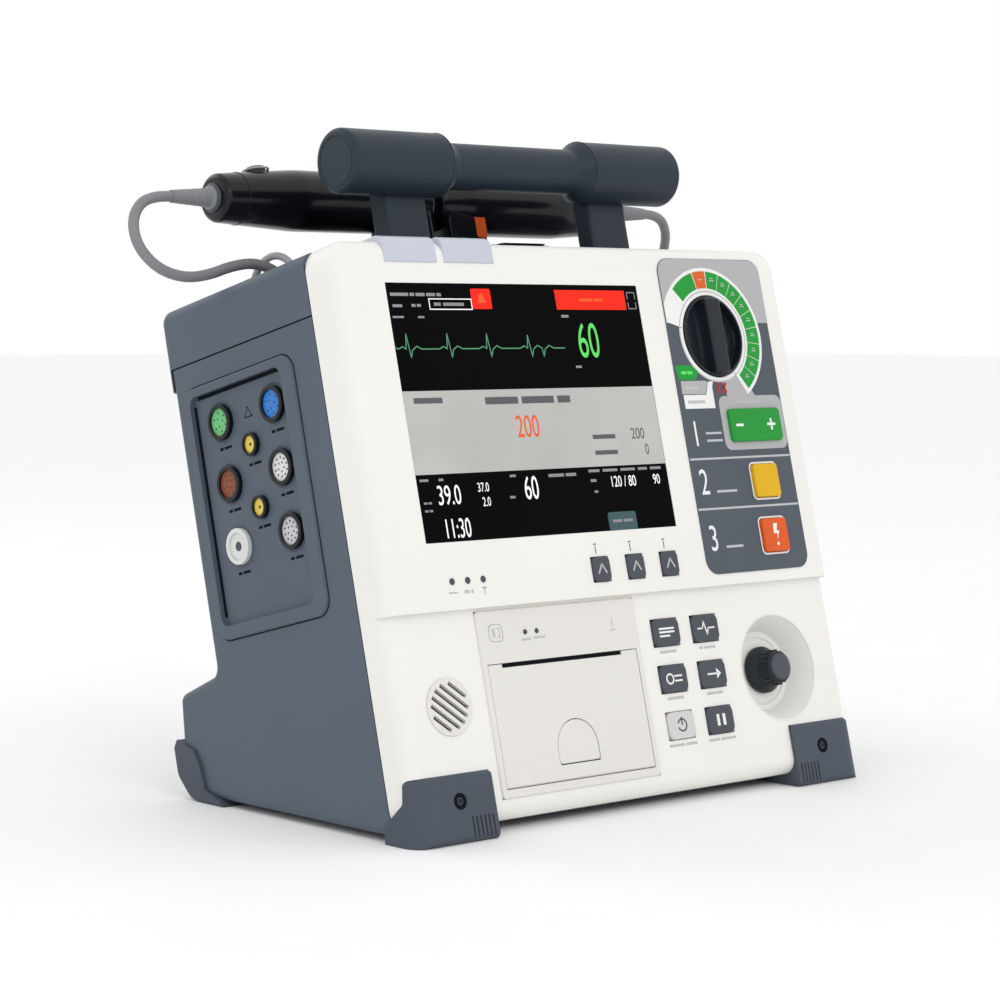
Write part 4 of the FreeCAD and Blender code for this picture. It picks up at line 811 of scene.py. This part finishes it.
def make_lead(mark, route):
    """A paddle's lead as one smooth tube along its route, in place of the model's own lead."""
    points = [LEAN @ (Vector(p) * MM) for p in route]
    curve = bpy.data.curves.new(f"lead_route_{mark}", "CURVE")
    curve.dimensions = "3D"
    spline = curve.splines.new("NURBS")
    spline.points.add(len(points) - 1)
    for control, point in zip(spline.points, points):
        control.co = (*point, 1.0)
    spline.order_u = 3
    spline.use_endpoint_u = True
    spline.resolution_u = 10
    guide = bpy.data.objects.new(f"lead_guide_{mark}", curve)
    line = bpy.data.meshes.new_from_object(guide)
    curve.bevel_depth = LEAD_WIDTH / 2 * MM
    curve.bevel_resolution = 6
    curve.use_fill_caps = True
    tube = bpy.data.meshes.new_from_object(guide)
    bpy.data.objects.remove(guide)
    for face in tube.polygons:
        face.use_smooth = True
    tube.materials.clear()
    tube.materials.append(LEAD)
    item = bpy.data.objects.new(f"lead_{mark}", tube)
    bpy.context.scene.collection.objects.link(item)
    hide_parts(f"paddle_lead_{mark}")
    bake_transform(item)


# ---------------------------------------------------------------- back and right wall

REAR = 142.0              # depth of the casing's back
BATTERY_WALL = 157.8      # X of the battery cover's face


def make_back():
    """Rating plate, port inserts and screws on the back, and the battery cover's arrow and screws on the
    right wall.
    """
    rows = []
    for index, wide in enumerate((44, 38, 46, 30, 40)):
        rows += text_bars(-126, -126 + wide, -136.0 - 5 * index, -134.6 - 5 * index, [3, 2, 4])
    labels("rating_plate", [rounded(-132, -72, -162, -128, 2.0)], REAR, PRINT_GREY, "housing", thick=-0.15)
    labels("rating_rows", rows, REAR + 0.15, PRINT_DARK, "housing", thick=-0.06)
    head = [(-0.3, 2.0), (0.5, 1.9), (0.7, 1.2), (0.2, 1.0)]
    for index, (x, z) in enumerate(((-106, -64), (16, -64), (-106, -106), (16, -106))):
        turned(f"port_screw_{index + 1}", (x, REAR + 1.0, z), "y", head, STEEL, "housing", 20)
    for index, (start, wide) in enumerate(((-100, 16), (-76, 14), (-54, 30), (-14, 12))):
        insert = rounded(start + 2, start + wide - 2, -90, -82, 1.2)
        labels(f"port_insert_{index + 1}", [insert], 141.4, BLACK, "housing", thick=-0.5)
    head = [(-0.3, 2.6), (0.5, 2.5), (0.8, 1.6), (0.2, 1.3)]
    for index, (x, depth, z) in enumerate(((-146, REAR + 4.0, 0), (146, REAR + 4.0, 0),
                                           (-146, REAR, -158), (146, REAR, -158))):
        turned(f"casing_screw_{index + 1}", (x, depth, z), "y", head, STEEL, "housing", 22)
    arrow = [(86, -204), (104, -204), (95, -211)]
    labels("battery_arrow", [arrow], BATTERY_WALL + 0.12, PRINT_GREY, "housing", on_left, 0.12)
    head = [(-0.3, 2.2), (0.4, 2.1), (0.6, 1.3), (0.1, 1.0)]
    for index, (depth, height) in enumerate(((66, -136), (124, -136), (66, -209), (124, -209))):
        turned(f"battery_screw_{index + 1}", (BATTERY_WALL, depth, height), "x", head, STEEL, "housing", 20)


# ---------------------------------------------------------------- studio

def make_floor():
    bm = bmesh.new()
    reach = 12.0
    bm.faces.new([bm.verts.new((x, y, 0)) for x, y in bar(-reach, reach, -reach, reach)])
    mesh = bpy.data.meshes.new("floor")
    bm.to_mesh(mesh)
    bm.free()
    mesh.materials.append(moulded("floor_paint", (0.93, 0.93, 0.93), 0.7, 40.0, 0.02, 0.008, 0.0001))
    floor = bpy.data.objects.new("floor", mesh)
    bpy.context.scene.collection.objects.link(floor)


def make_light(name, place, aim, size, power):
    """A square lamp aimed at a point."""
    lamp = bpy.data.lights.new(name, "AREA")
    lamp.size = size
    lamp.energy = power
    item = bpy.data.objects.new(name, lamp)
    bpy.context.scene.collection.objects.link(item)
    item.location = place
    item.rotation_euler = (Vector(aim) - Vector(place)).to_track_quat("-Z", "Y").to_euler()


def make_studio():
    """Floor, soft white surroundings, two lamps and the camera."""
    make_floor()
    world = bpy.data.worlds.new("studio")
    world.use_nodes = True
    background = world.node_tree.nodes["Background"]
    background.inputs["Color"].default_value = (1.0, 1.0, 1.0, 1.0)
    background.inputs["Strength"].default_value = 1.0
    bpy.context.scene.world = world
    middle = (0, 0, 0.17)
    make_light("key", (-0.5, -1.7, 1.5), middle, 1.0, 5)
    make_light("back", (-0.6, 1.5, 1.3), middle, 1.0, 4)
    camera = bpy.data.cameras.new("camera")
    camera.lens = 99.024
    camera.sensor_width = 36.0
    camera.clip_end = 60.0
    eye = bpy.data.objects.new("camera", camera)
    bpy.context.scene.collection.objects.link(eye)
    eye.location = (-0.97910, -1.06203, 0.25008)
    eye.rotation_euler = [math.radians(angle) for angle in (86.0823, -0.2298, -42.2776)]
    bpy.context.scene.camera = eye
    bpy.context.scene.view_settings.view_transform = "Standard"


coat_nodes()
colour_inserts()
make_screen()
make_strip()
make_button_icons()
make_lower_panel()
make_left_wall()
make_handle()
make_lead("left", LEFT_ROUTE)
make_lead("right", RIGHT_ROUTE)
make_back()
make_studio()
